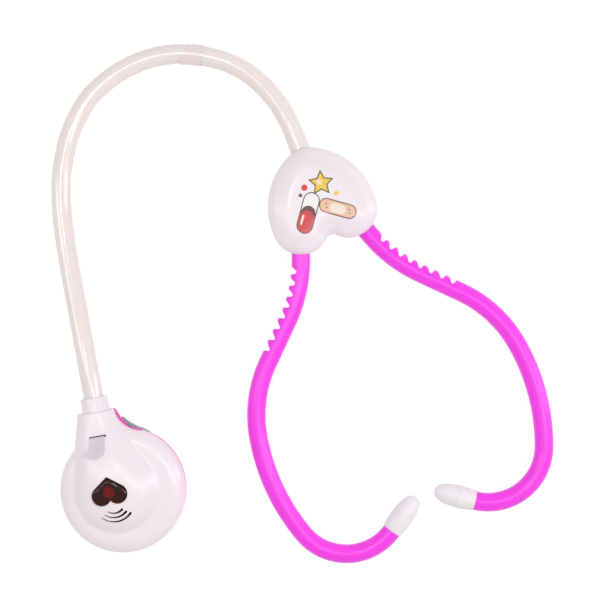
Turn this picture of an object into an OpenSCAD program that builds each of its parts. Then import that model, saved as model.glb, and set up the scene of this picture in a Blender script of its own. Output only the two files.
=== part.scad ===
// Toy stethoscope: a heart hub with two swinging ear arms, a hose, and a chest piece that lights and sounds.
// Millimetres, +Z up. The origin is the middle of the hub's flat back, and +Y runs from the hub to the hose.

/* [Ear arms] */
// Diameter of the round arms
arm_d = 9; // [7:0.5:10]
// Height of the arms' mid-plane, which is also the hub's parting plane
arm_plane = 7; // [6.6:0.1:8]
// Heading of each arm where it leaves its pivot, outwards from straight back
arm_heading = 20; // [14:1:24]
// Radius of the eye at the arm's root
eye_r = 6; // [5.5:0.1:7]
// Height of the eye
eye_h = 7.4; // [5:0.1:8]
// Radius of the pivot post
post_r = 2; // [1.6:0.1:2.6]
// Running clearance between a post and its bore
post_clear = 0.05; // [0.02:0.01:0.1]
// Straight run out of the hub
root_run = 16.1; // [15:0.1:17]
// Radius of the bend outwards
flare_r = 70; // [60:1:80]
// Angle of the bend outwards
flare_turn = 25; // [20:1:28]
// Straight run after it
flare_run = 22; // [16:1:26]
// Radius of the elbow that turns the arm back
elbow_r = 60; // [50:1:70]
// Angle of that elbow
elbow_turn = 35; // [30:1:40]
// Radius of the long side
long_r = 100; // [90:1:120]
// Angle of the long side
long_turn = 30; // [26:1:34]
// Radius of the hook at the ear
hook_r = 27; // [24:0.5:30]
// Angle of the hook
hook_turn = 104; // [96:1:106]
// Number of notches on each arm
notch_count = 8; // [2:1:8]
// Distance of the first notch from the pivot, along the arm
notch_start = 22.1; // [21.5:0.1:25]
// Distance between notches
notch_pitch = 5.8; // [4.8:0.1:6]
// Depth of a notch
notch_depth = 2.6; // [1.6:0.1:3]
// Radius at the bottom of a notch
notch_root = 1; // [0.6:0.1:1.1]
// Lean of a notch's flank on the hub's side, from upright
notch_lead = 40; // [20:1:42]
// Lean of its other flank
notch_trail = 15; // [8:1:20]
// Furthest that an arm swings in from the laid-down pose
swing_in = 1; // [0:0.5:1]
// Furthest that an arm swings out
swing_out = 17; // [10:1:18]

/* [Ear tips] */
// Length of an ear tip
tip_len = 20; // [16:0.5:24]
// Length of an ear tip's round nose
tip_nose = 11; // [8:0.5:13]
// Radius of an ear tip where it meets the arm
tip_base_r = 4.75; // [4.6:0.05:5.2]
// Largest radius of an ear tip
tip_max_r = 5.5; // [5:0.1:6]
// Radius of the spigot inside an ear tip
spigot_r = 2.6; // [2:0.1:3.2]
// Length of that spigot
spigot_len = 11; // [6:0.5:13]
// Clearance between the spigot and the ear tip
spigot_clear = 0.05; // [0.02:0.01:0.1]

/* [Heart hub] */
// Sideways distance of a lobe's centre, and of its pivot, from the middle
lobe_x = 12.3; // [11.8:0.1:13]
// Distance of the lobes' centres behind the origin
lobe_back = 6; // [5:0.5:7]
// Radius of a lobe
lobe_r = 13.7; // [13.2:0.1:14]
// Radius of the notch between the lobes
heart_notch_r = 3.5; // [2.5:0.5:6]
// Radius of the heart's long sides
side_r = 34.3; // [32:0.1:38]
// Angle on the lobe where the long side takes over
side_angle = 7; // [5:1:9]
// Radius of the heart's tip
heart_tip_r = 14; // [11:0.5:16]
// Thickness of the hub
hub_h = 18; // [16.5:0.5:20]
// Wall of the hub's shells
hub_wall = 1.8; // [1.4:0.1:2]
// Width of the rounding around the front
crown_round = 11.5; // [8:0.5:11.5]
// Height of the upright side above the parting plane
side_rise = 4.5; // [2:0.1:5]
// Width of the rounding around the back
back_round = 2.6; // [1:0.1:4]
// Height of the rounding around the back
back_rise = 3.6; // [1:0.1:5]
// Gap between an arm and the slot that it swings in
slot_gap = 0.5; // [0.3:0.1:0.6]
// Thickness of the printed film on the front
film_t = 0.2; // [0.1:0.05:0.4]
// Depth of the hose's seat in the hub
hub_seat = 14; // [8:0.5:15]

/* [Screws] */
// Radius of a screw's shank
screw_r = 1.1; // [0.8:0.1:1.3]
// Radius of a screw's head
head_r = 2.1; // [1.8:0.1:2.4]
// Height of a screw's head
head_h = 1.5; // [1:0.1:1.8]
// How far the screws reach into the upper boss
screw_bite = 5; // [3:0.5:6]
// Radius of a screw boss
boss_r = 3.2; // [2.9:0.1:3.4]
// Play around a screw's head in its counterbore
head_play = 0.2; // [0.1:0.05:0.4]
// Play around a screw's shank
shank_play = 0.1; // [0.05:0.05:0.2]
// Depth of the counterbores
counterbore = 3; // [2:0.1:4]

/* [Hose] */
// Diameter of the hose
hose_d = 9.6; // [8.6:0.1:10]
// Clearance between the hose and its seats
hose_clear = 0.1; // [0.05:0.05:0.2]
// Thickness of the tape wrapped on the hose
tape_t = 0.35; // [0.2:0.05:0.5]
// Gap between the tape and the hose
tape_gap = 0.05; // [0.02:0.01:0.1]

/* [Chest piece] */
// Place of the chest piece's middle
chest_pos = [-135.5, -95.5]; // [-200:0.5:0]
// Turn of the chest piece about the vertical
chest_turn = -10; // [-20:1:10]
// Radius of the round body
body_r = 30; // [29:0.5:32]
// Wall of the chest piece's shells
chest_wall = 1.8; // [1.4:0.1:2]
// Height of the joint between the two shells, and of the collar's axis
split_h = 11.5; // [11:0.1:12.5]
// Height of the flat shoulder round the dome
shoulder_h = 19; // [18:0.1:20]
// Width of the rounding at the shoulder's edge
shoulder_round = 7; // [4:0.5:9]
// Upright part of the upper shell's edge
shoulder_edge = 2; // [1:0.1:3]
// Radius of the flat underside
base_r = 24; // [22:0.5:25]
// Height of the rounding at the underside's edge
base_rise = 8; // [5:0.5:9]
// Centre of the dome
dome_at = [-2.5, 0.5]; // [-6:0.1:6]
// Radius of the dome at the joint
dome_r = 22.2; // [21:0.1:24]
// Height of the dome's top
dome_h = 25.5; // [25:0.1:27]
// Sideways place of the neck's axis
neck_x = -6.5; // [-8:0.1:-5]
// Half the neck's width where it ends
neck_r = 8.1; // [8:0.1:9.5]
// Where the neck ends
neck_end = 39; // [38:0.5:41]
// Height of the neck's top where it ends
neck_h = 20; // [19.5:0.1:21]
// Length of the collar
collar_len = 7; // [4:0.5:10]
// Outer radius of the collar
collar_r = 6.4; // [6.2:0.1:6.8]
// Depth of the hose's seat behind the collar's mouth
chest_seat = 13; // [9:0.5:13.5]
// Direction of the finger scoop beside the neck, from the chest piece's X
scoop_dir = 68.2; // [66:0.1:70]
// Distance of the scoop's centre outside the round body
scoop_out = 13.1; // [12.8:0.1:13.6]
// Radius of the finger scoop
scoop_r = 13.8; // [13.4:0.1:14]
// How far the lower shell's ledge stands out under the scoop's edge
ledge_w = 1; // [0.8:0.1:1.6]
// Height of that ledge
ledge_h = 2; // [1.4:0.1:2.4]

/* [Side button] */
// Distance of the button's middle outside the round body
button_out = 0.75; // [0.5:0.05:1]
// Direction of the button's outward face, from the chest piece's X
button_dir = 51.4; // [45:0.1:58]
// Half the button's length
button_half = 9; // [8:0.1:9.5]
// Lower edge of the button
button_low = 3.5; // [3:0.1:5]
// Radius of the dish that a finger rests in
dish_r = 24; // [20:0.5:40]
// Travel of the button
button_travel = 1.5; // [0.5:0.1:1.6]
// Gap round the button in its window
button_gap = 0.3; // [0.2:0.05:0.5]
// Radius of the button's stem
stem_r = 1.3; // [0.8:0.1:1.4]

/* [Lens and lamp] */
// Middle of the heart lens
lens_at = [-5.2, 1.7]; // [-8:0.1:4]
// Radius of the lens's lobes
lens_lobe_r = 4.6; // [4:0.1:5]
// Half the distance between its lobes' centres
lens_lobe_x = 3.85; // [3:0.05:4.2]
// Distance of its lobes' centres behind its middle
lens_lobe_back = 1.9; // [1.4:0.1:2.4]
// Distance from its middle to its point
lens_point = 6.7; // [6:0.1:7.5]
// Gap round the lens in its window
lens_gap = 0.1; // [0.05:0.05:0.2]
// Thickness of the flange that holds the lens from below
lens_flange = 1; // [0.6:0.1:1.4]
// How far the lens stands above the dome's top
lens_proud = 0.4; // [0:0.1:0.8]
// Radius of the lamp
lamp_r = 2.5; // [2:0.1:3]
// Length of the lamp
lamp_len = 8.4; // [6:0.1:9]

/* [Speaker] */
// Middle of the speaker
speaker_at = [-4.4, -9]; // [-10:0.1:0]
// Radius of the speaker
speaker_r = 6.5; // [5.5:0.1:6.6]
// Thickness of the speaker's frame
speaker_t = 3.8; // [3:0.1:4.5]
// Centre of the sound slots' arcs
slot_at = [-3.9, -3.8]; // [-8:0.1:0]
// Radius of the first sound slot
slot_r = 5.3; // [4:0.1:6]
// Distance between the sound slots
slot_step = 2.1; // [1.5:0.1:2.3]
// Width of a sound slot
slot_w = 0.8; // [0.5:0.1:1.2]

/* [Electronics] */
// Radius of a button cell
cell_r = 5.8; // [5:0.1:5.9]
// Thickness of a button cell
cell_t = 5.4; // [4:0.1:5.4]
// Number of button cells
cell_count = 3; // [2:1:3]
// Height of the cells' axis
cell_axis = 9.8; // [9.6:0.1:10.2]
// Thickness of the contact plates
contact_t = 0.4; // [0.3:0.05:0.6]
// Thickness of the pull tab
tab_t = 0.25; // [0.15:0.05:0.3]
// Width of the pull tab
tab_w = 7.4; // [5:0.1:7.8]
// Where the pull tab's slit is
slit_y = 27.5; // [27:0.1:28]
// Length of the tab's flap outside
flap_len = 10; // [6:0.5:12]
// Thickness of the circuit board
board_t = 1.2; // [0.8:0.1:1.6]
// Height of the circuit board's underside
board_z = 4.6; // [4.2:0.1:4.7]
// Thickness of the battery cover
cover_t = 1.2; // [1:0.1:1.3]
// Gap round the battery cover
cover_gap = 0.2; // [0.1:0.05:0.3]
// Gap between the tab and what lies on both sides of it
tab_gap = 0.22; // [0.1:0.02:0.3]

/* [Hidden] */
$fn = 64;
far = 60;
arm_r = arm_d / 2;
hose_r = hose_d / 2;

// Each run of an arm: its length or its arc's radius, then its turn, outwards positive
arm_path = [[root_run, 0], [flare_r, flare_turn], [flare_run, 0], [elbow_r, -elbow_turn],
    [long_r, -long_turn], [hook_r, -hook_turn]];

// Places on the hub
pivot = [lobe_x, -lobe_back];
notch_c = [0, -lobe_back - sqrt(pow(lobe_r + heart_notch_r, 2) - lobe_x * lobe_x)];
notch_a = atan2(-lobe_back - notch_c.y, lobe_x);
side_c = [lobe_x - (side_r - lobe_r) * cos(side_angle), -lobe_back + (side_r - lobe_r) * sin(side_angle)];
tip_y = side_c.y + sqrt(pow(side_r - heart_tip_r, 2) - side_c.x * side_c.x);
tip_a = atan2(tip_y - side_c.y, -side_c.x);
hub_mouth = tip_y + heart_tip_r;
hub_stop = hub_mouth - hub_seat;
hub_screw_at = [[0, 0.5], [-12.5, 11], [12.5, 11]];
side_top = arm_plane + side_rise;
eye_low = arm_plane - eye_h / 2;
eye_top = arm_plane + eye_h / 2;
eye_gap = 0.3;
post_reach = 2.5;
post_end_gap = 0.4;
post_foot = 1.2;
cup_wall = 2;
rib_t = 1.6;
rib_half = hose_r + 3;
rib_at = [hub_stop + 2, hub_stop + 7];
stop_half = hose_r + 1;
saddle_half = hose_r - 0.5;
saddle_top = hub_h - hub_wall - 0.3;
boss_top = hub_h - hub_wall + 0.3;
slot_past = 3;
film_rim = 60;
arm_root = eye_r - 1.2;
joint_bead = 0.06;
bead_len = 1.6;
bore_end_gap = 0.3;
drive_w = 0.5;
drive_deep = 0.7;
drive_half = head_r * 0.6;

// Places in the chest piece
neck_lean = 0.4;
cover_x = neck_x - neck_lean;
tear_axis = [cover_x, neck_end + 1];
crest_start = 4;
web_top = shoulder_h - 1.5;
web_r = body_r - 8;
web_inside = [95, 73];
web_outside = 65;
web_inset = 0.4;
collar_end = neck_end + collar_len;
seat_end = collar_end - chest_seat;
case_screw_at = [[-22, -8], [14, -19], [17.5, 11.5]];
stack_end = slit_y - tab_t / 2 - tab_gap;
cell_gap = 0.05;
stack_start = stack_end - cell_count * (cell_t + cell_gap);
plus_y = slit_y + tab_t / 2 + tab_gap;
spring_len = 1.5;
minus_y = stack_start - spring_len - contact_t;
bay_wall = 1.2;
cell_room = 0.3;
bay_half = cell_r + cell_room;
bay_top = cell_axis + 3.2;
bay_end = plus_y + contact_t;
neck_drop = split_h - cell_axis + cell_r + chest_wall + cell_room;
cell_step = 0.8;
cell_lip = 0.7;
plate_half = 4.5;
board_top = board_z + board_t;
board_pins = [[-12.5, -12], [7.5, -6]];
board_pin_r = 0.9;
board_pin_play = 0.1;
board_pin_top = board_top + 0.8;
board_post_r = 1.8;
board_from = [-15, -15];
board_w = 25;
board_gap = 0.3;
tongue_w = 8.4;
tongue_end = 21;
chip_at = [3, -10];
chip_r = 3.6;
chip_h = 1.5;

// Places of the button, outwards positive from the middle of its face
scoop_at = at([0, 0], body_r + scoop_out, scoop_dir);
button_at = at([0, 0], body_r + button_out, scoop_dir);
button_high = split_h - ledge_h - button_gap;
press_z = board_top + stem_r + 0.25;
button_front = 0.2;
button_bevel = [2.4, 1.4];
button_back = -3.6;
flange_front = -4.4;
flange_t = 1.2;
flange_back = flange_front - flange_t;
flange_from = -6;
flange_lip = 1.4;
dish_at = [-2.5, button_front - 0.6 + dish_r];
press_room = 0.3;
window_back = flange_back - button_travel - press_room - 0.6;
stem_end = flange_back - 3.3;
switch_face = stem_end - button_travel - press_room;
plunger_r = stem_r - 0.2;
plunger_play = 0.1;
plunger_end = switch_face - 1.1;
plunger_room = plunger_end - button_travel - press_room;
switch_back = plunger_room - 0.7;
switch_half = 2.5;
switch_over = 1.2;

// Places of the lens, the lamp and the speaker
lens_seat = dome_h - chest_wall - 0.8;
lens_top = dome_h + lens_proud;
lens_lip = 1.2;
lens_rim = 2.4;
lamp_at = [lens_at.x - 1, lens_at.y - 1.2];
lamp_top = lens_seat - lens_flange - 0.4;
lamp_base = lamp_top - lamp_len;
lamp_flange = 0.4;
lamp_flange_t = 1;
lead_gap = 1.27;
lead_w = 0.5;
holder_wall = 0.3;
speaker_top = dome_h - 6;
speaker_low = speaker_top - speaker_t;
speaker_play = 0.15;
seat_wall = 1.3;
seat_lip = 1;
frame_wall = 1.2;
frame_floor = 1;
frame_hole = 2;
cone_play = 0.05;
cone_rise = 1.6;
cone_t = 0.4;
cone_cap = [1.5, 2.6];
magnet_r = speaker_r - 3.2;
magnet_h = 3;
slot_half = 40;
slot_half_step = 3.5;

// Places of the battery cover and the pull tab
cover_half = 7;
cover_from = minus_y - 5.7;
cover_to = base_r - 3.4;
cover_ledge = 1.5;
cover_mouth = minus_y + 0.4;
cover_screw_y = minus_y - 3.3;
cover_screw_len = 3.2;
cover_ribs = [cover_mouth + 3.7, cover_to - cover_ledge - 2.6];
cover_rib_half = 3.6;
cover_rib_top = cell_axis - 3;
cradle_gap = 0.05;
slit_half = [tab_w / 2 + 0.3, 0.5];
tab_low = cell_axis - 4;
tab_lift = 0.6;

// The hose's route between the straight ends that its two seats give it
hose_route = [[-130.5, -28, 10.5], [-128, -12, 8.5], [-126, 2, 6.8], [-124, 14.5, 5.7], [-122, 26, 5],
    [-120, 35, 4.7], [-118, 43, 4.6], [-115.5, 50.5, 4.6], [-112.5, 58, 4.6], [-108.5, 65, 4.6],
    [-104.5, 71.5, 4.6], [-99.5, 77.5, 4.6], [-94, 83, 4.6], [-87.5, 88, 4.6], [-80, 91.5, 4.6],
    [-72.5, 94, 4.6], [-64.5, 95.5, 4.6], [-56.5, 96, 4.6], [-49, 95.5, 4.6], [-42, 94, 4.6],
    [-36, 92, 4.6], [-30, 89, 4.6], [-23.5, 85, 4.7], [-17.5, 80.5, 4.8], [-12, 74.5, 5],
    [-7.5, 67.5, 5.4], [-4, 59.5, 6], [-1.5, 51.5, 6.6], [-0.5, 44, 6.9]];
// First and last of the hose's points under the tape
tape_from = 23;
tape_to = 24;
hose_sides = 12;
hose_lead = 8;

function at(c, r, a) = [c.x + r * cos(a), c.y + r * sin(a)];
function arc(c, r, a0, a1, n) = [for (i = [0:n - 1]) at(c, r, a0 + (a1 - a0) * i / n)];
function lift(outline, z) = [for (p = outline) [p.x, p.y, z]];
function clamp01(t) = min(1, max(0, t));

// Heart outline, drawn in by d all round
function heart(d) = concat(
    arc(notch_c, heart_notch_r + d, 90, notch_a, 3),
    arc(pivot, lobe_r - d, notch_a + 180, 360 - side_angle, 10),
    arc(side_c, side_r - d, -side_angle, tip_a, 9),
    arc([0, tip_y], heart_tip_r - d, tip_a, 180 - tip_a, 4),
    arc([-side_c.x, side_c.y], side_r - d, 180 - tip_a, 180 + side_angle, 9),
    arc([-pivot.x, pivot.y], lobe_r - d, 180 + side_angle, 360 - notch_a, 10),
    arc(notch_c, heart_notch_r + d, 180 - notch_a, 90, 3));

// Teardrop outline of the dome and neck, with both radii taken in by w and shrunk to s
function tear(w, s) = let (
    big = (dome_r - w) * s,
    small = (neck_r - w) * s,
    away = tear_axis - dome_at,
    along = atan2(away.y, away.x),
    spread = acos((big - small) / norm(away)))
    concat(arc(dome_at, big, along + spread, along - spread + 360, 26),
        arc(tear_axis, small, along - spread, along + spread, 8));

// Height of the teardrop's crest above the joint
function crest(y, w) = let (
    from = dome_at.y + crest_start,
    t = clamp01((y - from) / (neck_end - from)),
    ease = t * t * (3 - 2 * t))
    dome_h - split_h - w + ease * (neck_h - dome_h);

// Point and heading at distance s along an arm, from run i on, and the rest of the way
function along_arm(s, i = 0, p = [0, 0], h = 0) = let (
    run = arm_path[i],
    bend = run[1],
    len = bend == 0 ? run[0] : run[0] * abs(bend) * PI / 180,
    go = min(s, len),
    turn = bend == 0 ? 0 : bend * go / len,
    r = sign(bend) * run[0],
    q = bend == 0 ? p + go * [cos(h), sin(h)] : at(at(p, r, h + 90), r, h - 90 + turn))
    s <= len || i == len(arm_path) - 1 ? [q, h + turn] : along_arm(s - len, i + 1, q, h + turn);

// Frames for a swept tube: the points, with a ring square to the run at each
function run_dir(p, i) = let (
    a = p[max(0, i - 1)],
    b = p[min(len(p) - 1, i + 1)]) (b - a) / norm(b - a);
function tube_ring(c, d, r, n) = let (
    u = [d.y, -d.x, 0] / norm([d.x, d.y]),
    v = cross(d, u)) [for (k = [0:n - 1]) c + r * (cos(360 * k / n) * u + sin(360 * k / n) * v)];

// Places in the chest piece, turned into the part's frame
function chest_at(x, y, z) = [chest_pos.x + x * cos(chest_turn) - y * sin(chest_turn),
    chest_pos.y + x * sin(chest_turn) + y * cos(chest_turn), z];
hose_points = concat(
    [for (y = [seat_end, collar_end, collar_end + hose_lead]) chest_at(neck_x, y, split_h)], hose_route,
    [for (y = [hub_mouth + hose_lead, hub_mouth, hub_stop]) [0, y, arm_plane]]);

// Solid through rings of as many points each, the first at the bottom, or a loop of rings with no ends
module loft(rings, loop = false) {
    n = len(rings[0]);
    m = len(rings);
    sides = [for (i = [0:m - (loop ? 1 : 2)], j = [0:n - 1])
        let (a = i * n + j, b = i * n + (j + 1) % n, c = (a + n) % (m * n), d = (b + n) % (m * n))
        each [[a, c, d], [a, d, b]]];
    ends = [[for (j = [0:n - 1]) j], [for (j = [n - 1:-1:0]) (m - 1) * n + j]];
    polyhedron([for (ring = rings) each ring], concat(sides, loop ? [] : ends));
}

module on_chest() {
    translate(chest_pos) rotate(chest_turn) children();
}

// Along the button's own directions: X along its length, Y outwards
module on_button() {
    translate(button_at) rotate(button_dir - 90) children();
}

module along_y(x, y, z) {
    translate([x, y, z]) rotate([-90, 0, 0]) children();
}

module both_sides() {
    children();
    mirror([1, 0, 0]) children();
}

// Self-tapping screw, head down, with its seat at the origin
module screw(reach) {
    difference() {
        union() {
            translate([0, 0, -head_h]) cylinder(r = head_r, h = head_h);
            cylinder(r = screw_r, h = reach);
        }
        translate([0, 0, -head_h]) drive_cross(drive_deep);
    }
}

// Cross in a screw's head, from z = 0 up
module drive_cross(deep) {
    for (a = [0, 90]) rotate(a) translate([-drive_half, -drive_w / 2, -1])
        cube([2 * drive_half, drive_w, deep + 1]);
}

// Hole for a screw from z = 0 up, with its counterbore below
module screw_hole(top) {
    translate([0, 0, -1]) cylinder(r = head_r + head_play, h = counterbore + 1);
    cylinder(r = screw_r + shank_play, h = top);
}

function crown_ring(a, wall) = lift(heart(wall + (crown_round - wall) * (1 - cos(a))),
    side_top + (hub_h - wall - side_top) * sin(a));

module heart_front(wall, low) {
    loft(concat([lift(heart(wall), low)], [for (a = [0:15:90]) crown_ring(a, wall)]));
}

module heart_back(wall, high) {
    loft(concat([for (a = [90:-30:0]) lift(heart(wall + back_round * (1 - cos(a))),
        wall + back_rise * (1 - sin(a)))], [lift(heart(wall), high)]));
}

// Room that an arm needs in the hub's side, over its whole swing
module swing_room() {
    reach = lobe_r + slot_past;
    half = asin((arm_r + slot_gap) / (lobe_r - hub_wall));
    from = arm_heading - swing_in - half - 90;
    to = arm_heading + swing_out + half - 90;
    fan = concat([[0, 0]], arc([0, 0], reach, from, to, 12), [at([0, 0], reach, to)]);
    translate([pivot.x, pivot.y, arm_plane - arm_r - slot_gap])
        linear_extrude(arm_d + 2 * slot_gap) polygon(fan);
}

// Bore for the hose at the heart's tip
module hub_hose_bore() {
    along_y(0, hub_stop, arm_plane) cylinder(r = hose_r + hose_clear, h = far);
}

// Cross walls that clamp the hose, and the wall that stops it
module hub_ribs(half, low, tops) {
    for (i = [0, 1]) translate([-half, rib_at[i], low]) cube([2 * half, rib_t, tops[i] - low]);
    translate([-stop_half, hub_stop - rib_t, low]) cube([2 * stop_half, rib_t, tops[0] - low]);
}

module hub_rear_shell() {
    color("ghostwhite") difference() {
        union() {
            difference() {
                heart_back(0, arm_plane);
                heart_back(hub_wall, arm_plane + 1);
                both_sides() swing_room();
            }
            hub_ribs(rib_half, hub_wall / 2, [arm_plane, arm_plane]);
            for (p = hub_screw_at) translate(p) cylinder(r = boss_r, h = arm_plane);
            both_sides() translate([pivot.x, pivot.y, hub_wall / 2]) {
                cylinder(r = post_r, h = eye_top + eye_gap + post_reach - hub_wall / 2);
                cylinder(r = post_r + post_foot, h = eye_low - eye_gap - hub_wall / 2);
            }
        }
        hub_hose_bore();
        for (p = hub_screw_at) translate(p) screw_hole(arm_plane + 1);
    }
}

module hub_front_shell() {
    color("ghostwhite") difference() {
        union() {
            difference() {
                heart_front(0, arm_plane);
                heart_front(hub_wall, arm_plane - 1);
                both_sides() swing_room();
            }
            hub_ribs(saddle_half, arm_plane, [boss_top, saddle_top]);
            for (p = hub_screw_at) translate([p.x, p.y, arm_plane])
                cylinder(r = boss_r, h = boss_top - arm_plane);
            both_sides() translate([pivot.x, pivot.y, eye_top + eye_gap])
                cylinder(r = post_r + cup_wall, h = boss_top - eye_top - eye_gap);
        }
        hub_hose_bore();
        for (p = hub_screw_at) translate([p.x, p.y, arm_plane - 1])
            cylinder(r = screw_r + shank_play, h = screw_bite + 1 + bore_end_gap);
        both_sides() translate([pivot.x, pivot.y, arm_plane])
            cylinder(r = post_r + post_clear, h = eye_h / 2 + eye_gap + post_reach + post_end_gap);
    }
}

module hub_screws() {
    color("silver") for (p = hub_screw_at) translate([p.x, p.y, counterbore])
        screw(arm_plane - counterbore + screw_bite);
}

// Film that lies on the crown and carries the print
module hub_badge() {
    color("mistyrose") loft(concat([for (a = [90:-15:film_rim]) crown_ring(a, 0)],
        [for (a = [film_rim:15:90]) [for (p = crown_ring(a, 0)) p + [0, 0, film_t]]]));
}

// Arm as one rod after another, each from where the last one ended, with a fine bead over each joint
module arm_rod(i = 0) {
    run = arm_path[i];
    bend = run[1];
    if (i == 0) translate([arm_root, 0]) rotate([0, 90, 0]) cylinder(r = arm_r, h = run[0] - arm_root);
    else translate([-bead_len / 2, 0]) rotate([0, 90, 0]) cylinder(r = arm_r + joint_bead, h = bead_len);
    if (i > 0 && bend == 0) rotate([0, 90, 0]) cylinder(r = arm_r, h = run[0]);
    if (bend != 0) mirror([0, bend < 0 ? 1 : 0, 0]) translate([0, run[0]]) rotate(-90)
        rotate_extrude(angle = abs(bend)) translate([run[0], 0]) circle(r = arm_r);
    if (i < len(arm_path) - 1) {
        step = bend == 0 ? [run[0], 0] : [run[0] * sin(abs(bend)), sign(bend) * run[0] * (1 - cos(bend))];
        translate(step) rotate(bend) arm_rod(i + 1);
    }
}

// The arm's frame: X along the first run, Y outwards
module on_arm() {
    translate([pivot.x, pivot.y, arm_plane]) rotate(arm_heading - 90) children();
}

module at_arm_end() {
    end = along_arm(1000);
    on_arm() translate(end[0]) rotate(end[1]) rotate([0, 90, 0]) children();
}

module notch_cut(k) {
    place = along_arm(notch_start + k * notch_pitch);
    root = [0, arm_r - notch_depth + notch_root];
    lead = at(root, notch_root, 180 + notch_lead);
    trail = at(root, notch_root, -notch_trail);
    top = arm_r + 1;
    translate([place[0].x, place[0].y, -arm_d]) rotate(place[1]) linear_extrude(2 * arm_d) {
        translate(root) circle(r = notch_root);
        polygon([lead, trail, [trail.x + (top - trail.y) * tan(notch_trail), top],
            [lead.x - (top - lead.y) * tan(notch_lead), top]]);
    }
}

module ear_arm() {
    difference() {
        union() {
            on_arm() arm_rod();
            translate([pivot.x, pivot.y, eye_low]) cylinder(r = eye_r, h = eye_h);
            at_arm_end() cylinder(r = spigot_r, h = spigot_len);
        }
        on_arm() {
            for (k = [0:notch_count - 1]) notch_cut(k);
            translate([0, 0, -far / 2]) cylinder(r = post_r + post_clear, h = far);
        }
    }
}

module right_ear_arm() {
    color("magenta") ear_arm();
}

module left_ear_arm() {
    color("magenta") mirror([1, 0, 0]) ear_arm();
}

// Ear tip with a swelling body, a round nose and a blind bore for its spigot
module ear_tip() {
    straight = tip_len - tip_nose;
    belly = [for (t = [0:0.25:1]) [tip_base_r + (tip_max_r - tip_base_r) * sin(90 * t), straight * t]];
    cap = [for (a = [15:15:75]) [tip_max_r * pow(cos(a), 0.75), straight + tip_nose * sin(a)]];
    at_arm_end() difference() {
        rotate_extrude() polygon(concat([[0, 0]], belly, cap, [[0, tip_len]]));
        translate([0, 0, -1]) cylinder(r = spigot_r + spigot_clear, h = spigot_len + 1 + bore_end_gap);
    }
}

module right_ear_tip() {
    color("white") ear_tip();
}

module left_ear_tip() {
    color("white") mirror([1, 0, 0]) ear_tip();
}

module hose() {
    color("seashell") loft([for (i = [0:len(hose_points) - 1])
        tube_ring(hose_points[i], run_dir(hose_points, i), hose_r, hose_sides)]);
}

function tape_ring(i, r) = tube_ring(hose_points[i], run_dir(hose_points, i), r, hose_sides);

module tape_band() {
    inner = hose_r + tape_gap;
    color("mistyrose") loft(concat([for (i = [tape_from:tape_to]) tape_ring(i, inner + tape_t)],
        [for (i = [tape_to:-1:tape_from]) tape_ring(i, inner)]), loop = true);
}

// Round body of the upper shell, drawn in by w
module body_upper(w, low) {
    edge = split_h + shoulder_edge;
    top = shoulder_h - w;
    side = body_r - w;
    round_off = [for (a = [0:15:90]) [side - shoulder_round * (1 - cos(a)), edge + (top - edge) * sin(a)]];
    rotate_extrude() polygon(concat([[0, low], [side, low]], round_off, [[0, top]]));
}

// Round body of the lower shell, drawn in by w
module body_lower(w, high) {
    rotate_extrude() polygon(concat([[0, w]],
        [for (a = [0:15:90]) [base_r - w + (body_r - base_r) * sin(a), w + (base_rise - w) * (1 - cos(a))]],
        [[body_r - w, high], [0, high]]));
}

// Dome and neck above the joint
module tear_upper(w, low) {
    loft(concat([lift(tear(w, 1), low)], [for (a = [0, 15, 30, 45, 60, 72, 82])
        [for (p = tear(w, pow(cos(a), 0.7))) [p.x, p.y, split_h + crest(p.y, w) * sin(a)]]]));
}

// Neck below the joint
module tear_lower(w, high) {
    loft(concat([for (a = [82, 65, 45, 25, 0])
        lift(tear(w, pow(cos(a), 0.5)), split_h - (neck_drop - w) * sin(a))], [lift(tear(w, 1), high)]));
}

// Web that fills the corner between the neck and the body, up to the finger scoop
module thumb_web(low, high) {
    translate([0, 0, low]) linear_extrude(high - low)
        polygon(concat([for (a = web_inside) at([0, 0], web_r, a)],
            [at([0, 0], body_r - web_inset, web_outside), [neck_x + neck_r, neck_end]]));
}

module scoop(r) {
    translate([scoop_at.x, scoop_at.y, -1]) cylinder(r = r, h = far);
}

module past_neck(y) {
    translate([-far, y, -1]) cube([2 * far, far, far]);
}

module collar_solid() {
    along_y(neck_x, seat_end - bay_wall, split_h)
        cylinder(r = collar_r, h = collar_end - seat_end + bay_wall);
}

module hose_bore() {
    along_y(neck_x, seat_end, split_h) cylinder(r = hose_r + hose_clear, h = far);
}

module above(z) {
    translate([-far, -far, z]) cube([2 * far, 2 * far, far]);
}

module below(z) {
    translate([-far, -far, z - far]) cube([2 * far, 2 * far, far]);
}

// Heart outline of the lens, grown by d, with its point towards the neck
module lens_outline(d) {
    r = lens_lobe_r + d;
    c = [lens_lobe_x, -lens_lobe_back];
    half = asin(lens_lobe_r / norm([c.x, lens_point - c.y])) + atan2(c.x, lens_point - c.y);
    tip = [0, lens_point + d / sin(half)];
    touch = at(c, r, half);
    translate(lens_at) {
        for (s = [-1, 1]) translate([s * c.x, c.y]) circle(r = r);
        polygon([tip, [-touch.x, touch.y], [-c.x, c.y], [0, c.y - r * 0.6], c, touch]);
    }
}

module speaker_seat() {
    translate([speaker_at.x, speaker_at.y, speaker_low]) difference() {
        cylinder(r = speaker_r + seat_wall, h = far);
        translate([0, 0, -1]) cylinder(r = speaker_r + speaker_play, h = speaker_t + 1);
        cylinder(r = speaker_r - seat_lip, h = far);
    }
}

module sound_slots() {
    translate([slot_at.x, slot_at.y, speaker_top - 1]) for (k = [0:2]) {
        half = slot_half + slot_half_step * k;
        rotate(-90 - half) rotate_extrude(angle = 2 * half)
            translate([slot_r + k * slot_step - slot_w / 2, 0]) square([slot_w, far]);
    }
}

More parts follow.
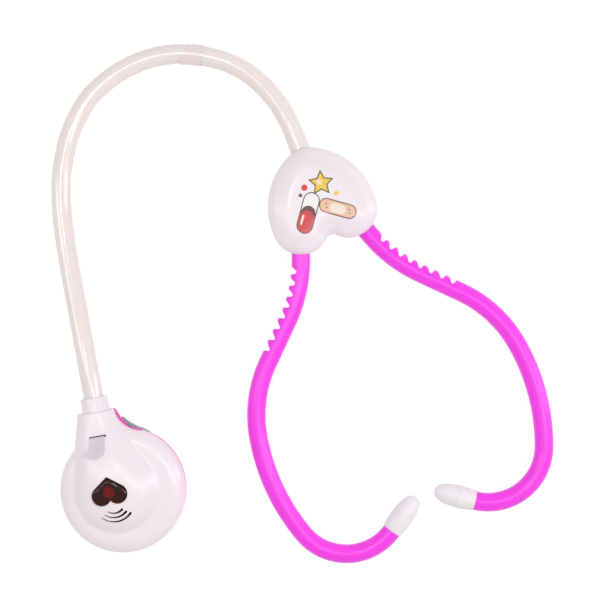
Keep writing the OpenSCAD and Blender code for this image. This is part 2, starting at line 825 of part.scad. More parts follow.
module chest_upper_shell() {
    color("white") on_chest() difference() {
        union() {
            difference() {
                union() {
                    body_upper(0, split_h);
                    difference() {
                        tear_upper(0, split_h);
                        past_neck(neck_end);
                    }
                    thumb_web(split_h, web_top);
                }
                body_upper(chest_wall, split_h - 1);
                difference() {
                    tear_upper(chest_wall, split_h - 1);
                    past_neck(neck_end - chest_wall);
                }
            }
            intersection() {
                collar_solid();
                above(split_h);
            }
            intersection() {
                union() {
                    body_upper(chest_wall / 2, split_h);
                    tear_upper(chest_wall / 2, split_h);
                }
                union() {
                    speaker_seat();
                    for (p = case_screw_at) translate([p.x, p.y, split_h]) cylinder(r = boss_r, h = far);
                    translate([0, 0, lens_seat]) linear_extrude(far) lens_outline(lens_rim);
                }
            }
        }
        scoop(scoop_r);
        hose_bore();
        sound_slots();
        translate([0, 0, lens_seat - 1]) linear_extrude(far) lens_outline(lens_gap);
        translate([0, 0, lens_seat - far]) linear_extrude(far) lens_outline(lens_lip + lens_gap);
        for (p = case_screw_at) translate([p.x, p.y, split_h - 1])
            cylinder(r = screw_r + shank_play, h = screw_bite + 1 + bore_end_gap);
        translate([neck_x - slit_half.x, slit_y - slit_half.y, split_h])
            cube([2 * slit_half.x, 2 * slit_half.y, far]);
    }
}

// Walls round the cells, with a wall at each end to hold the contact plates
module battery_bay() {
    out = bay_half + bay_wall;
    low = chest_wall / 2;
    difference() {
        translate([cover_x - out, minus_y - bay_wall, low])
            cube([2 * out, bay_end - minus_y + 2 * bay_wall, bay_top - low]);
        translate([cover_x - bay_half, minus_y, 0]) cube([2 * bay_half, bay_end - minus_y, far]);
    }
}

module board_posts() {
    for (p = board_pins) translate([p.x, p.y, chest_wall / 2]) {
        cylinder(r = board_post_r, h = board_z - chest_wall / 2);
        cylinder(r = board_pin_r, h = board_pin_top - chest_wall / 2);
    }
}

module cover_recess(gap) {
    translate([cover_x - cover_half - gap, cover_from - gap, -1])
        cube([2 * (cover_half + gap), cover_to - cover_from + 2 * gap, cover_t + gap + 1]);
}

module chest_lower_shell() {
    color("hotpink") on_chest() difference() {
        union() {
            difference() {
                union() {
                    body_lower(0, split_h);
                    difference() {
                        tear_lower(0, split_h);
                        past_neck(neck_end);
                    }
                    thumb_web(split_h - neck_drop + 1, split_h);
                }
                body_lower(chest_wall, split_h + 1);
                difference() {
                    tear_lower(chest_wall, split_h + 1);
                    past_neck(neck_end - chest_wall);
                }
            }
            intersection() {
                collar_solid();
                below(split_h);
            }
            intersection() {
                union() {
                    body_lower(chest_wall / 2, bay_top);
                    tear_lower(chest_wall / 2, bay_top);
                }
                union() {
                    battery_bay();
                    board_posts();
                    for (p = case_screw_at) translate(p) cylinder(r = boss_r, h = split_h);
                    translate([cover_x, cover_screw_y, 0]) cylinder(r = boss_r, h = board_z - board_gap);
                }
            }
        }
        scoop(scoop_r - ledge_w);
        hose_bore();
        for (p = case_screw_at) translate(p) screw_hole(split_h + 1);
        cover_recess(cover_gap);
        translate([cover_x - cover_half + cover_ledge, cover_mouth, -1])
            cube([2 * (cover_half - cover_ledge), cover_to - cover_ledge - cover_mouth, chest_wall + 2]);
        translate([cover_x, cover_screw_y, 0]) cylinder(r = screw_r + shank_play, h = board_z);
        on_button() translate([-button_half - button_gap, window_back, button_low - button_gap])
            cube([2 * (button_half + button_gap), far, button_high - button_low + 2 * button_gap]);
    }
}

module case_screws() {
    color("silver") on_chest() for (p = case_screw_at) translate([p.x, p.y, counterbore])
        screw(split_h - counterbore + screw_bite);
}

module heart_lens() {
    color("darkred") on_chest() {
        translate([0, 0, lens_seat - lens_flange]) linear_extrude(lens_flange) lens_outline(lens_lip);
        translate([0, 0, lens_seat]) linear_extrude(lens_top - lens_seat) lens_outline(0);
    }
}

module lamp() {
    color("red") on_chest() translate([lamp_at.x, lamp_at.y, lamp_base]) {
        cylinder(r = lamp_r + lamp_flange, h = lamp_flange_t);
        cylinder(r = lamp_r, h = lamp_len - lamp_r);
        translate([0, 0, lamp_len - lamp_r]) sphere(r = lamp_r);
        for (s = [-1, 1]) translate([s * lead_gap - lead_w / 2, -lead_w / 2, board_top - lamp_base])
            cube([lead_w, lead_w, lamp_base - board_top + lamp_flange_t / 2]);
    }
}

module lamp_holder() {
    color("gainsboro") on_chest() translate([lamp_at.x, lamp_at.y, board_top]) difference() {
        cylinder(r = lamp_r + lamp_flange + holder_wall, h = lamp_base - board_top);
        translate([0, 0, -1]) cylinder(r = lamp_r - lamp_flange, h = far);
    }
}

module on_speaker(z) {
    on_chest() translate([speaker_at.x, speaker_at.y, z]) children();
}

module speaker_frame() {
    color("dimgray") on_speaker(speaker_low) difference() {
        cylinder(r = speaker_r, h = speaker_t);
        translate([0, 0, frame_floor]) cylinder(r = speaker_r - frame_wall, h = speaker_t);
        translate([0, 0, -1]) cylinder(r = frame_hole, h = speaker_t);
    }
}

module speaker_cone() {
    rim = speaker_r - frame_wall - cone_play;
    under = [[0, 0], [cone_cap[1], 0], [rim, cone_rise]];
    over = [[rim, cone_rise + cone_t], [cone_cap[1], cone_t], [cone_cap[0], 2 * cone_t], [0, 3 * cone_t]];
    color("black") on_speaker(speaker_low + frame_floor) rotate_extrude() polygon(concat(under, over));
}

module speaker_magnet() {
    color("darkgray") on_speaker(speaker_low - magnet_h) cylinder(r = magnet_r, h = magnet_h);
}

// Board with a tongue that runs beside the cells to the switch
module circuit_board() {
    color("seagreen") on_chest() translate([0, 0, board_z]) difference() {
        linear_extrude(board_t) {
            translate(board_from) square([board_w, minus_y - bay_wall - board_gap - board_from.y]);
            translate([cover_x + bay_half + bay_wall + board_gap, 0]) square([tongue_w, tongue_end]);
        }
        for (p = board_pins) translate([p.x, p.y, -1]) cylinder(r = board_pin_r + board_pin_play, h = far);
    }
}

module chip_blob() {
    ball = (chip_r * chip_r + chip_h * chip_h) / (2 * chip_h);
    color("black") on_chest() translate([chip_at.x, chip_at.y, board_top]) intersection() {
        translate([0, 0, chip_h - ball]) sphere(r = ball);
        cylinder(r = far, h = far);
    }
}

module on_press_axis(n) {
    on_chest() on_button() translate([0, n, press_z]) rotate([90, 0, 0]) children();
}

module switch_body() {
    color("black") difference() {
        on_chest() on_button() translate([-switch_half, switch_back, board_top])
            cube([2 * switch_half, switch_face - switch_back, 2 * (press_z - board_top) + switch_over]);
        on_press_axis(switch_face + 1)
            cylinder(r = plunger_r + plunger_play, h = switch_face + 1 - plunger_room);
    }
}

module switch_plunger() {
    color("ivory") on_press_axis(stem_end) cylinder(r = plunger_r, h = stem_end - plunger_end);
}

module side_button() {
    tall = button_high - button_low;
    stem_start = flange_front - flange_t / 2;
    color("lightslategray") {
        on_chest() on_button() translate([0, 0, button_low]) {
            linear_extrude(tall) difference() {
                polygon([[-button_half, button_back], [flange_from, button_back], [flange_from, flange_back],
                    [button_half, flange_back], [button_half, button_front - button_bevel.y],
                    [button_half - button_bevel.x, button_front], [-button_half, button_front]]);
                translate(dish_at) circle(r = dish_r);
            }
            translate([flange_from, flange_back, 0])
                cube([button_half + flange_lip - flange_from, flange_t, tall]);
        }
        on_press_axis(stem_start) cylinder(r = stem_r, h = stem_start - stem_end);
    }
}

module button_cells() {
    color("silver") on_chest() for (k = [0:cell_count - 1])
        along_y(cover_x, stack_start + k * (cell_t + cell_gap), cell_axis) {
            cylinder(r = cell_r, h = cell_t - cell_step);
            cylinder(r = cell_r - cell_lip, h = cell_t);
        }
}

module contact_plate(y) {
    translate([cover_x - plate_half, y, cell_axis - plate_half])
        cube([2 * plate_half, contact_t, 2 * plate_half]);
}

module battery_contact_plus() {
    color("gold") on_chest() contact_plate(plus_y);
}

module battery_contact_minus() {
    color("gold") on_chest() {
        contact_plate(minus_y);
        along_y(cover_x, minus_y + contact_t, cell_axis) difference() {
            cylinder(r1 = 4, r2 = 2, h = spring_len);
            translate([0, 0, -1]) cylinder(r = 1.5, h = far);
        }
    }
}

module battery_cover() {
    color("hotpink") on_chest() difference() {
        union() {
            translate([cover_x - cover_half, cover_from, 0])
                cube([2 * cover_half, cover_to - cover_from, cover_t]);
            for (y = cover_ribs) translate([cover_x - cover_rib_half, y, 0])
                cube([2 * cover_rib_half, bay_wall, cover_rib_top]);
        }
        along_y(cover_x, 0, cell_axis) cylinder(r = cell_r + cradle_gap, h = far);
        translate([cover_x, cover_screw_y, -1]) cylinder(r = screw_r + shank_play, h = far);
        translate([cover_x, cover_screw_y, -1]) cylinder(r = head_r + head_play, h = 1 + cover_t / 2);
    }
}

module battery_cover_screw() {
    color("silver") on_chest() translate([cover_x, cover_screw_y, cover_t / 2]) difference() {
        union() {
            translate([0, 0, -cover_t / 2]) cylinder(r = head_r, h = cover_t / 2);
            cylinder(r = screw_r, h = cover_screw_len);
        }
        translate([0, 0, -cover_t / 2]) drive_cross(cover_t / 3);
    }
}

// Insulating strip: upright between the end cell and its contact, then folded back over the neck
module pull_tab() {
    fold = split_h + crest(slit_y, 0) + tab_lift;
    near = slit_y - tab_t / 2;
    away = slit_y + tab_t / 2;
    flap = [slit_y - flap_len, split_h + crest(slit_y - flap_len, 0) + tab_lift];
    over = [[away, fold + tab_t], [flap.x, flap.y + tab_t]];
    side = concat([[near, tab_low], [away, tab_low]], over, [flap, [near, fold]]);
    color("lavenderblush") on_chest() translate([neck_x - tab_w / 2, 0, 0]) rotate([90, 0, 90])
        linear_extrude(tab_w) polygon(side);
}

hub_rear_shell();
hub_front_shell();
hub_screws();
hub_badge();
right_ear_arm();
left_ear_arm();
right_ear_tip();
left_ear_tip();
hose();
tape_band();
chest_lower_shell();
chest_upper_shell();
case_screws();
heart_lens();
lamp();
lamp_holder();
speaker_frame();
speaker_cone();
speaker_magnet();
circuit_board();
chip_blob();
switch_body();
switch_plunger();
side_button();
button_cells();
battery_contact_plus();
battery_contact_minus();
battery_cover();
battery_cover_screw();
pull_tab();
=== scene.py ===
"""Looks of a toy stethoscope: a heart hub, two swinging ear arms, a hose and a chest piece that lights up.

Sizes are in millimetres in the fields below and become metres where a mesh is made.
The origin is the middle of the hub's flat back, and +Y runs from the hub to the hose.
"""

import logging
import math
from collections.abc import Callable, Sequence
from dataclasses import dataclass, field
from enum import Enum
from typing import Any

import bmesh
import bpy
from bmesh.types import BMEdge, BMesh, BMVert
from bpy.types import Material, Node, NodeSocket, NodeTree, Object
from mathutils import Matrix, Vector

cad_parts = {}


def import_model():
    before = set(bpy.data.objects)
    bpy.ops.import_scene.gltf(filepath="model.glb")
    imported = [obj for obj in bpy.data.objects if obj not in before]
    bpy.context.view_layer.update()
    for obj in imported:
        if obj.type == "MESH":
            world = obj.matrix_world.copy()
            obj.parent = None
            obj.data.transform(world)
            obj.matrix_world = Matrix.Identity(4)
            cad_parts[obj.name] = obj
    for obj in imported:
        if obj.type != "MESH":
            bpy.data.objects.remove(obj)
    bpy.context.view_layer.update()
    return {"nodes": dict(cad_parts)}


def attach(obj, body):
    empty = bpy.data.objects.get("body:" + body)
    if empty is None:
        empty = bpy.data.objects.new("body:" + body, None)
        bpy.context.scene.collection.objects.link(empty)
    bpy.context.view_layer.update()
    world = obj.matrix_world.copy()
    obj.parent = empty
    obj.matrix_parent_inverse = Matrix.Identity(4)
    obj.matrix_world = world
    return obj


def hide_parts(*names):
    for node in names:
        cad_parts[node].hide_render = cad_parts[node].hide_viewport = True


MM = 0.001
MERGE = 1e-4
INK_EDGE = 0.12
STAR_WAIST = 0.5
CLOUD_DETAIL = 3.0
PEEL_DETAIL = 2.0
PEEL_RATIO = 9.0
CENTRE = Vector((0, 0))
Color = tuple[float, float, float, float]
LOG = logging.getLogger("stethoscope")


class Side(Enum):
    """Side of the hub that an ear arm hangs on."""

    RIGHT = 1
    LEFT = -1

    @property
    def word(self) -> str:
        """The side's name in lower case."""
        return self.name.lower()


class Body(Enum):
    """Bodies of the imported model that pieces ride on."""

    HOUSING = "housing"
    RIGHT_ARM = "right_arm"
    LEFT_ARM = "left_arm"
    SIDE_BUTTON = "side_button"
    PULL_TAB = "pull_tab"


def srgb(red: float, green: float, blue: float) -> Color:
    """Turns a screen colour into a linear one.

    Args:
        red: Red from 0 to 255.
        green: Green from 0 to 255.
        blue: Blue from 0 to 255.

    Returns:
        Linear red, green and blue, and an alpha of 1.
    """

    def linear(level: float) -> float:
        """One channel, from 0 to 255, on a linear scale."""
        share = level / 255
        return share / 12.92 if share <= 0.04045 else ((share + 0.055) / 1.055) ** 2.4

    return (linear(red), linear(green), linear(blue), 1.0)


def polar(centre: Vector, radius: float, degrees: float) -> Vector:
    """Point at an angle and a distance from a centre, in the plane."""
    turn = math.radians(degrees)
    return Vector((centre.x + radius * math.cos(turn), centre.y + radius * math.sin(turn)))


def arc(centre: Vector, radius: float, start: float, end: float, steps: int) -> list[Vector]:
    """Points along an arc, without the last one.

    Args:
        centre: Centre of the arc.
        radius: Radius of the arc.
        start: First angle in degrees.
        end: Last angle in degrees.
        steps: Number of points.

    Returns:
        Points in the plane.
    """
    return [polar(centre, radius, start + (end - start) * i / steps) for i in range(steps)]


def smooth_max(first: float, second: float, soft: float) -> float:
    """Larger of two values, with a soft change between them that is soft wide."""
    near = max(soft - abs(first - second), 0.0) / soft
    return max(first, second) + near * near * soft / 4


def smooth_min(first: float, second: float, soft: float) -> float:
    """Smaller of two values, with a soft change between them that is soft wide."""
    return -smooth_max(-first, -second, soft)


@dataclass
class MeshPiece:
    """One named mesh while it is being modelled, in millimetres."""

    name: str
    mesh: BMesh = field(default_factory=bmesh.new)

    def loft(self, rings: Sequence[Sequence[Vector]], closed: bool = False) -> None:
        """Draws each ring out of the one before, and fills the two ends unless the rings close up.

        Args:
            rings: Rings of as many points each.
            closed: Whether the last ring joins the first.
        """
        verts = [self.mesh.verts.new(p) for p in rings[0]]
        edges = [self.mesh.edges.new((v, verts[(i + 1) % len(verts)])) for i, v in enumerate(verts)]
        first = list(verts)
        if not closed:
            bmesh.ops.contextual_create(self.mesh, geom=edges)
        for points in [*rings[1:], rings[0]] if closed else rings[1:]:
            grown = bmesh.ops.extrude_edge_only(self.mesh, edges=edges)["geom"]
            fresh = {part for part in grown if isinstance(part, BMVert)}
            verts = [next(e.other_vert(v) for e in v.link_edges if e.other_vert(v) in fresh) for v in verts]
            for vert, point in zip(verts, points):
                vert.co = point
            edges = [part for part in grown if isinstance(part, BMEdge) and fresh.issuperset(part.verts)]
        if closed:
            bmesh.ops.remove_doubles(self.mesh, verts=first + verts, dist=MERGE / 10)
        else:
            bmesh.ops.contextual_create(self.mesh, geom=edges)

    def lathe(self, profile: Sequence[tuple[float, float]], place: Matrix, steps: int = 48) -> None:
        """Turns a profile about its own axis and sets it in place.

        Args:
            profile: Radius and height of each point. It starts and ends on the axis, or it closes up.
            place: Where the profile's axis and its zero height go.
            steps: Number of steps round the axis.
        """
        verts = [self.mesh.verts.new((radius, 0, height)) for radius, height in profile]
        edges = [self.mesh.edges.new(pair) for pair in zip(verts, verts[1:])]
        if min(profile[0][0], profile[-1][0]) > 0:
            edges.append(self.mesh.edges.new((verts[-1], verts[0])))
        known = set(self.mesh.verts) - set(verts)
        bmesh.ops.spin(
            self.mesh,
            geom=verts + edges,
            cent=(0, 0, 0),
            axis=(0, 0, 1),
            angle=math.tau,
            steps=steps,
            use_merge=True,
        )
        turned = [v for v in self.mesh.verts if v not in known]
        bmesh.ops.remove_doubles(self.mesh, verts=turned, dist=MERGE)
        turned = [v for v in self.mesh.verts if v not in known]
        bmesh.ops.transform(self.mesh, matrix=place, verts=turned)

    def prism(self, outline: Sequence[Vector], low: float, high: float) -> None:
        """Draws an outline up between two heights.

        Args:
            outline: Corners in the plane, in order.
            low: Height of the underside.
            high: Height of the top.
        """
        face = self.mesh.faces.new([self.mesh.verts.new((p.x, p.y, low)) for p in outline])
        grown = bmesh.ops.extrude_face_region(self.mesh, geom=[face], use_keep_orig=True)
        lifted = [part for part in grown["geom"] if isinstance(part, BMVert)]
        bmesh.ops.translate(self.mesh, vec=(0, 0, high - low), verts=lifted)

    def rod(self, radius: float, low: float, high: float, place: Matrix, steps: int = 48) -> None:
        """Turns a plain rod between two heights of its own axis."""
        self.lathe([(0, low), (radius, low), (radius, high), (0, high)], place, steps)

    def block(self, x: tuple[float, float], y: tuple[float, float], z: tuple[float, float]) -> None:
        """Draws a plain block between two ends each way."""
        self.prism([Vector(c) for c in ((x[0], y[0]), (x[1], y[0]), (x[1], y[1]), (x[0], y[1]))], *z)

    def place(self, matrix: Matrix) -> None:
        """Moves the whole mesh, in millimetres."""
        bmesh.ops.transform(self.mesh, matrix=matrix, verts=self.mesh.verts[:])

    def make(self, sharp: float = 35.0) -> Object:
        """Turns the mesh into an object in metres.

        Args:
            sharp: Angle in degrees past which an edge stays sharp.

        Returns:
            The new object, linked to the scene.
        """
        bmesh.ops.recalc_face_normals(self.mesh, faces=self.mesh.faces[:])
        bmesh.ops.scale(self.mesh, vec=(MM, MM, MM), verts=self.mesh.verts[:])
        data = bpy.data.meshes.new(self.name)
        self.mesh.to_mesh(data)
        self.mesh.free()
        shade(data, sharp)
        piece = bpy.data.objects.new(self.name, data)
        bpy.context.scene.collection.objects.link(piece)
        return piece


def shade(data: bpy.types.Mesh, sharp: float) -> None:
    """Shades a mesh smooth, with edges past an angle in degrees kept sharp."""
    data.shade_smooth()
    data.set_sharp_from_angle(angle=math.radians(sharp))


def carve(piece: Object, cutters: Sequence[MeshPiece], sharp: float = 35.0) -> None:
    """Cuts closed shapes out of a piece.

    Args:
        piece: Piece to cut.
        cutters: Closed meshes, which are used up.
        sharp: Angle in degrees past which an edge stays sharp.
    """
    for cutter in cutters:
        tool = cutter.make()
        cut = piece.modifiers.new("cut", "BOOLEAN")
        cut.operation = "DIFFERENCE"
        cut.solver = "EXACT"
        cut.object = tool
        bpy.context.view_layer.update()
        cleared = piece.evaluated_get(bpy.context.evaluated_depsgraph_get())
        data = bpy.data.meshes.new_from_object(cleared)
        piece.modifiers.clear()
        piece.data = data
        bpy.data.objects.remove(tool)
    piece.data.name = piece.name
    shade(piece.data, sharp)


def join(piece: Object, extra: Object) -> None:
    """Adds one object's mesh to a piece and removes the object.

    Args:
        piece: Piece that grows.
        extra: Object that is used up.
    """
    whole = bmesh.new()
    whole.from_mesh(piece.data)
    whole.from_mesh(extra.data)
    whole.to_mesh(piece.data)
    whole.free()
    bpy.data.objects.remove(extra)


def along_y(x: float, y: float, z: float) -> Matrix:
    """Place whose axis runs along +Y from a point."""
    return Matrix.Translation((x, y, z)) @ Matrix.Rotation(-math.pi / 2, 4, "X")


@dataclass(frozen=True)
class ScrewSeat:
    """Well and boss of a screw, the same in the hub and the chest piece."""

    head_r: float = 2.3
    shank_r: float = 1.2
    boss_r: float = 3.2
    head_deep: float = 3.0
    foot: float = 0.9
    through: float = 1.0
    steps: int = 32

    def sink(self, cutter: MeshPiece, spots: Sequence[tuple[float, float]]) -> None:
        """Adds the well of each screw to a cutter."""
        for x, y in spots:
            cutter.rod(self.head_r, -self.through, self.head_deep, Matrix.Translation((x, y, 0)))

    def build_up(self, piece: MeshPiece, spots: Sequence[tuple[float, float]], top: float) -> None:
        """Adds the boss of each screw to a piece, up to a height.

        Args:
            piece: Piece that gets the bosses.
            spots: Where the screws stand.
            top: Height of the bosses.
        """
        boss = [(self.head_r, self.foot), (self.head_r, self.head_deep), (self.shank_r, self.head_deep),
                (self.shank_r, top), (self.boss_r, top), (self.boss_r, self.foot)]
        for x, y in spots:
            piece.lathe(boss, Matrix.Translation((x, y, 0)), self.steps)


class NodeBench:
    """Adds nodes to a tree and wires them."""

    def __init__(self, tree: NodeTree) -> None:
        """Takes the tree that nodes go into."""
        self.tree = tree

    def add(self, kind: str, wires: dict[str | int, Any] | None = None, **settings: Any) -> Node:
        """Adds one node.

        Args:
            kind: Type of the node.
            wires: Value of each input, or the socket that it comes from.
            **settings: Properties of the node.

        Returns:
            The new node.
        """
        node = self.tree.nodes.new(kind)
        for name, value in settings.items():
            setattr(node, name, value)
        self.wire(node, wires or {})
        return node

    def wire(self, node: Node, wires: dict[str | int, Any]) -> None:
        """Sets inputs of a node, each to a value or to the socket that it comes from.

        Args:
            node: Node to set.
            wires: Value or source of each input.
        """
        for name, value in wires.items():
            if isinstance(value, NodeSocket):
                self.tree.links.new(value, node.inputs[name])
            else:
                node.inputs[name].default_value = value

    def math(self, operation: str, *terms: Any, clamp: bool = False) -> NodeSocket:
        """Result of a Math node on one to three terms."""
        node = self.add("ShaderNodeMath", dict(enumerate(terms)), operation=operation, use_clamp=clamp)
        return node.outputs[0]

    def vector(self, operation: str, *terms: Any) -> Node:
        """Vector Math node on one to three terms."""
        return self.add("ShaderNodeVectorMath", dict(enumerate(terms)), operation=operation)

    def mix(self, factor: Any, under: Any, over: Any) -> NodeSocket:
        """Colour between two others."""
        node = self.add("ShaderNodeMix", {0: factor, 6: under, 7: over}, data_type="RGBA")
        return node.outputs[2]

    def noise(self, where: NodeSocket, scale: NodeSocket, detail: float) -> NodeSocket:
        """Value of a Noise texture."""
        wires = {"Vector": where, "Scale": scale, "Detail": detail}
        return self.add("ShaderNodeTexNoise", wires).outputs[0]

    def ink(self, inside: NodeSocket) -> NodeSocket:
        """Mask of ink with a soft edge, from the distance in metres that a point lies inside it."""
        return self.math("MULTIPLY_ADD", inside, 1 / (INK_EDGE * MM), 0.5, clamp=True)

    def group(self, tree: NodeTree, wires: dict[str | int, Any]) -> Node:
        """Places a node group with its own values."""
        return self.add("ShaderNodeGroup", wires, node_tree=tree)


def new_group(name: str, takes: dict[str, str], gives: dict[str, str]) -> tuple[NodeBench, Node, Node]:
    """Starts a shader node group.

    Args:
        name: Name of the group.
        takes: Name and kind of each input.
        gives: Name and kind of each output.

    Returns:
        A bench for the group, its input node and its output node.
    """
    tree = bpy.data.node_groups.new(name, "ShaderNodeTree")
    for way, sockets in (("INPUT", takes), ("OUTPUT", gives)):
        for label, kind in sockets.items():
            tree.interface.new_socket(label, in_out=way, socket_type=f"NodeSocket{kind}")
    bench = NodeBench(tree)
    return bench, bench.add("NodeGroupInput"), bench.add("NodeGroupOutput")


class Effects:
    """Node groups that several finishes share, each built once."""

    def __init__(self) -> None:
        """Builds the groups."""
        self.skin = self.moulded_skin()
        self.stroke = self.ink_stroke()
        self.star = self.ink_star()

    @staticmethod
    def moulded_skin() -> NodeTree:
        """Group for the faint clouding, gloss change and orange peel of a moulded skin.

        Returns:
            The group's tree.
        """
        bench, start, end = new_group(
            "moulded_skin",
            {"Color": "Color", "Tint": "Color", "Cloud": "Float", "Scale": "Float", "Roughness": "Float",
             "Spread": "Float"},
            {"Color": "Color", "Roughness": "Float", "Height": "Float"},
        )
        given = start.outputs
        where = bench.add("ShaderNodeTexCoord").outputs["Object"]
        clouds = bench.noise(where, given["Scale"], CLOUD_DETAIL)
        fine = bench.noise(where, bench.math("MULTIPLY", given["Scale"], PEEL_RATIO), PEEL_DETAIL)
        share = bench.math("MULTIPLY", clouds, given["Cloud"], clamp=True)
        color = bench.mix(share, given["Color"], given["Tint"])
        shift = bench.math("SUBTRACT", fine, 0.5)
        rough = bench.math("MULTIPLY_ADD", shift, given["Spread"], given["Roughness"])
        bench.wire(end, {"Color": color, "Roughness": rough, "Height": fine})
        return bench.tree

    @staticmethod
    def ink_stroke() -> NodeTree:
        """Group for one round-ended stroke of ink on the XY plane.

        Returns:
            The group's tree.
        """
        bench, start, end = new_group(
            "ink_stroke",
            {"Place": "Vector", "From": "Vector", "Along": "Vector", "Radius": "Float"},
            {"Mask": "Float"},
        )
        given = start.outputs
        flat = bench.vector("MULTIPLY", given["Place"], (1, 1, 0)).outputs[0]
        away = bench.vector("SUBTRACT", flat, given["From"]).outputs[0]
        along = given["Along"]
        reach = bench.vector("DOT_PRODUCT", away, along).outputs["Value"]
        length = bench.vector("DOT_PRODUCT", along, along).outputs["Value"]
        longest = bench.math("MAXIMUM", length, 1e-9)
        share = bench.math("DIVIDE", reach, longest, clamp=True)
        nearest = bench.add("ShaderNodeVectorMath", {0: along, "Scale": share}, operation="SCALE").outputs[0]
        gap = bench.vector("SUBTRACT", away, nearest).outputs[0]
        distance = bench.vector("LENGTH", gap).outputs["Value"]
        bench.wire(end, {"Mask": bench.ink(bench.math("SUBTRACT", given["Radius"], distance))})
        return bench.tree

    @staticmethod
    def ink_star() -> NodeTree:
        """Group for a five-pointed star of ink on the XY plane.

        Returns:
            The group's tree.
        """
        bench, start, end = new_group(
            "ink_star",
            {"Place": "Vector", "Middle": "Vector", "Reach": "Float", "Turn": "Float"},
            {"Mask": "Float"},
        )
        given = start.outputs
        half_point = math.pi / 5
        away = bench.vector("SUBTRACT", given["Place"], given["Middle"]).outputs[0]
        parts = bench.add("ShaderNodeSeparateXYZ", {0: away}).outputs
        angle = bench.math("ARCTAN2", parts["Y"], parts["X"])
        turned = bench.math("SUBTRACT", angle, given["Turn"])
        folded = bench.math("PINGPONG", turned, half_point)
        flat = bench.vector("MULTIPLY", away, (1, 1, 0)).outputs[0]
        distance = bench.vector("LENGTH", flat).outputs["Value"]
        across = bench.math("MULTIPLY", distance, bench.math("COSINE", folded))
        up = bench.math("MULTIPLY", distance, bench.math("SINE", folded))
        short = bench.math("SUBTRACT", given["Reach"], across)
        waist = Vector((STAR_WAIST * math.cos(half_point), STAR_WAIST * math.sin(half_point)))
        lean = Vector((1 - waist.x, waist.y)).normalized()
        past = bench.math("MULTIPLY", up, lean.x)
        edge = bench.math("SUBTRACT", bench.math("MULTIPLY", short, lean.y), past)
        bench.wire(end, {"Mask": bench.ink(edge)})
        return bench.tree


@dataclass(frozen=True)
class Finish:
    """One surface finish: a moulded, drawn or cast skin with its own gloss."""

    name: str
    color: Color
    tint: Color
    cloud: float = 0.5
    scale: float = 60.0
    roughness: float = 0.3
    spread: float = 0.08
    peel: float = 0.02
    metallic: float = 0.0
    coat: float = 0.0
    coat_roughness: float = 0.06
    specular: float = 0.5
    subsurface: float = 0.0
    subsurface_tint: tuple[float, float, float] = (1.0, 0.8, 0.8)
    subsurface_reach: float = 0.003
    transmission: float = 0.0
    ior: float = 1.48
    glow: float = 0.0
    relief_deep: float = 0.0004

    def start(self) -> tuple[Material, NodeBench, Node]:
        """Makes the material with its shader and the shader's plain values.

        Returns:
            The material, a bench for its tree, and its shader.
        """
        material = bpy.data.materials.new(self.name)
        material.use_nodes = True
        bench = NodeBench(material.node_tree)
        shader = material.node_tree.nodes["Principled BSDF"]
        bench.wire(shader, {
            "Metallic": self.metallic,
            "Coat Weight": self.coat,
            "Coat Roughness": self.coat_roughness,
            "Specular IOR Level": self.specular,
            "Subsurface Weight": self.subsurface,
            "Subsurface Radius": self.subsurface_tint,
            "Subsurface Scale": self.subsurface_reach,
            "Transmission Weight": self.transmission,
            "IOR": self.ior,
            "Emission Color": self.color,
            "Emission Strength": self.glow,
        })
        return material, bench, shader

    def skin(self, bench: NodeBench, effects: Effects) -> Node:
        """Places the moulded skin with this finish's values.

        Args:
            bench: Bench for the material's tree.
            effects: Shared node groups.

        Returns:
            The placed group.
        """
        return bench.group(
            effects.skin,
            {"Color": self.color, "Tint": self.tint, "Cloud": self.cloud, "Scale": self.scale,
             "Roughness": self.roughness, "Spread": self.spread},
        )

    def wire(self, bench: NodeBench, shader: Node, color: NodeSocket, skin: Node) -> None:
        """Feeds the shader with a colour, the skin's gloss and its relief.

        Args:
            bench: Bench for the material's tree.
            shader: Shader of the material.
            color: Colour of the surface.
            skin: Placed group of the moulded skin.
        """
        height = skin.outputs["Height"]
        wires = {"Strength": self.peel, "Distance": self.relief_deep, "Height": height}
        relief = bench.add("ShaderNodeBump", wires).outputs["Normal"]
        bench.wire(shader, {"Base Color": color, "Roughness": skin.outputs["Roughness"], "Normal": relief})

    def make(self, effects: Effects) -> Material:
        """Builds the material.

        Args:
            effects: Shared node groups.

        Returns:
            The material.
        """
        material, bench, shader = self.start()
        skin = self.skin(bench, effects)
        self.wire(bench, shader, skin.outputs["Color"], skin)
        return material


def metres(point: tuple[float, float]) -> tuple[float, float, float]:
    """A point of the print on the XY plane, in metres."""
    return (point[0] * MM, point[1] * MM, 0)


@dataclass(frozen=True)
class Ink:
    """One stroke of the print: its colour, its two ends and its half width."""

    color: Color
    start: tuple[float, float]
    end: tuple[float, float]
    radius: float

    def mask(self, bench: NodeBench, effects: Effects, where: NodeSocket) -> NodeSocket:
        """Mask of the stroke.

        Args:
            bench: Bench for the material's tree.
            effects: Shared node groups.
            where: Place on the piece.

        Returns:
            The mask, from 0 to 1.
        """
        run = (self.end[0] - self.start[0], self.end[1] - self.start[1])
        wires = {"Place": where, "From": metres(self.start), "Along": metres(run), "Radius": self.radius * MM}
        return bench.group(effects.stroke, wires).outputs["Mask"]


def dot(color: Color, middle: tuple[float, float], radius: float) -> Ink:
    """A round dot of ink."""
    return Ink(color, middle, middle, radius)


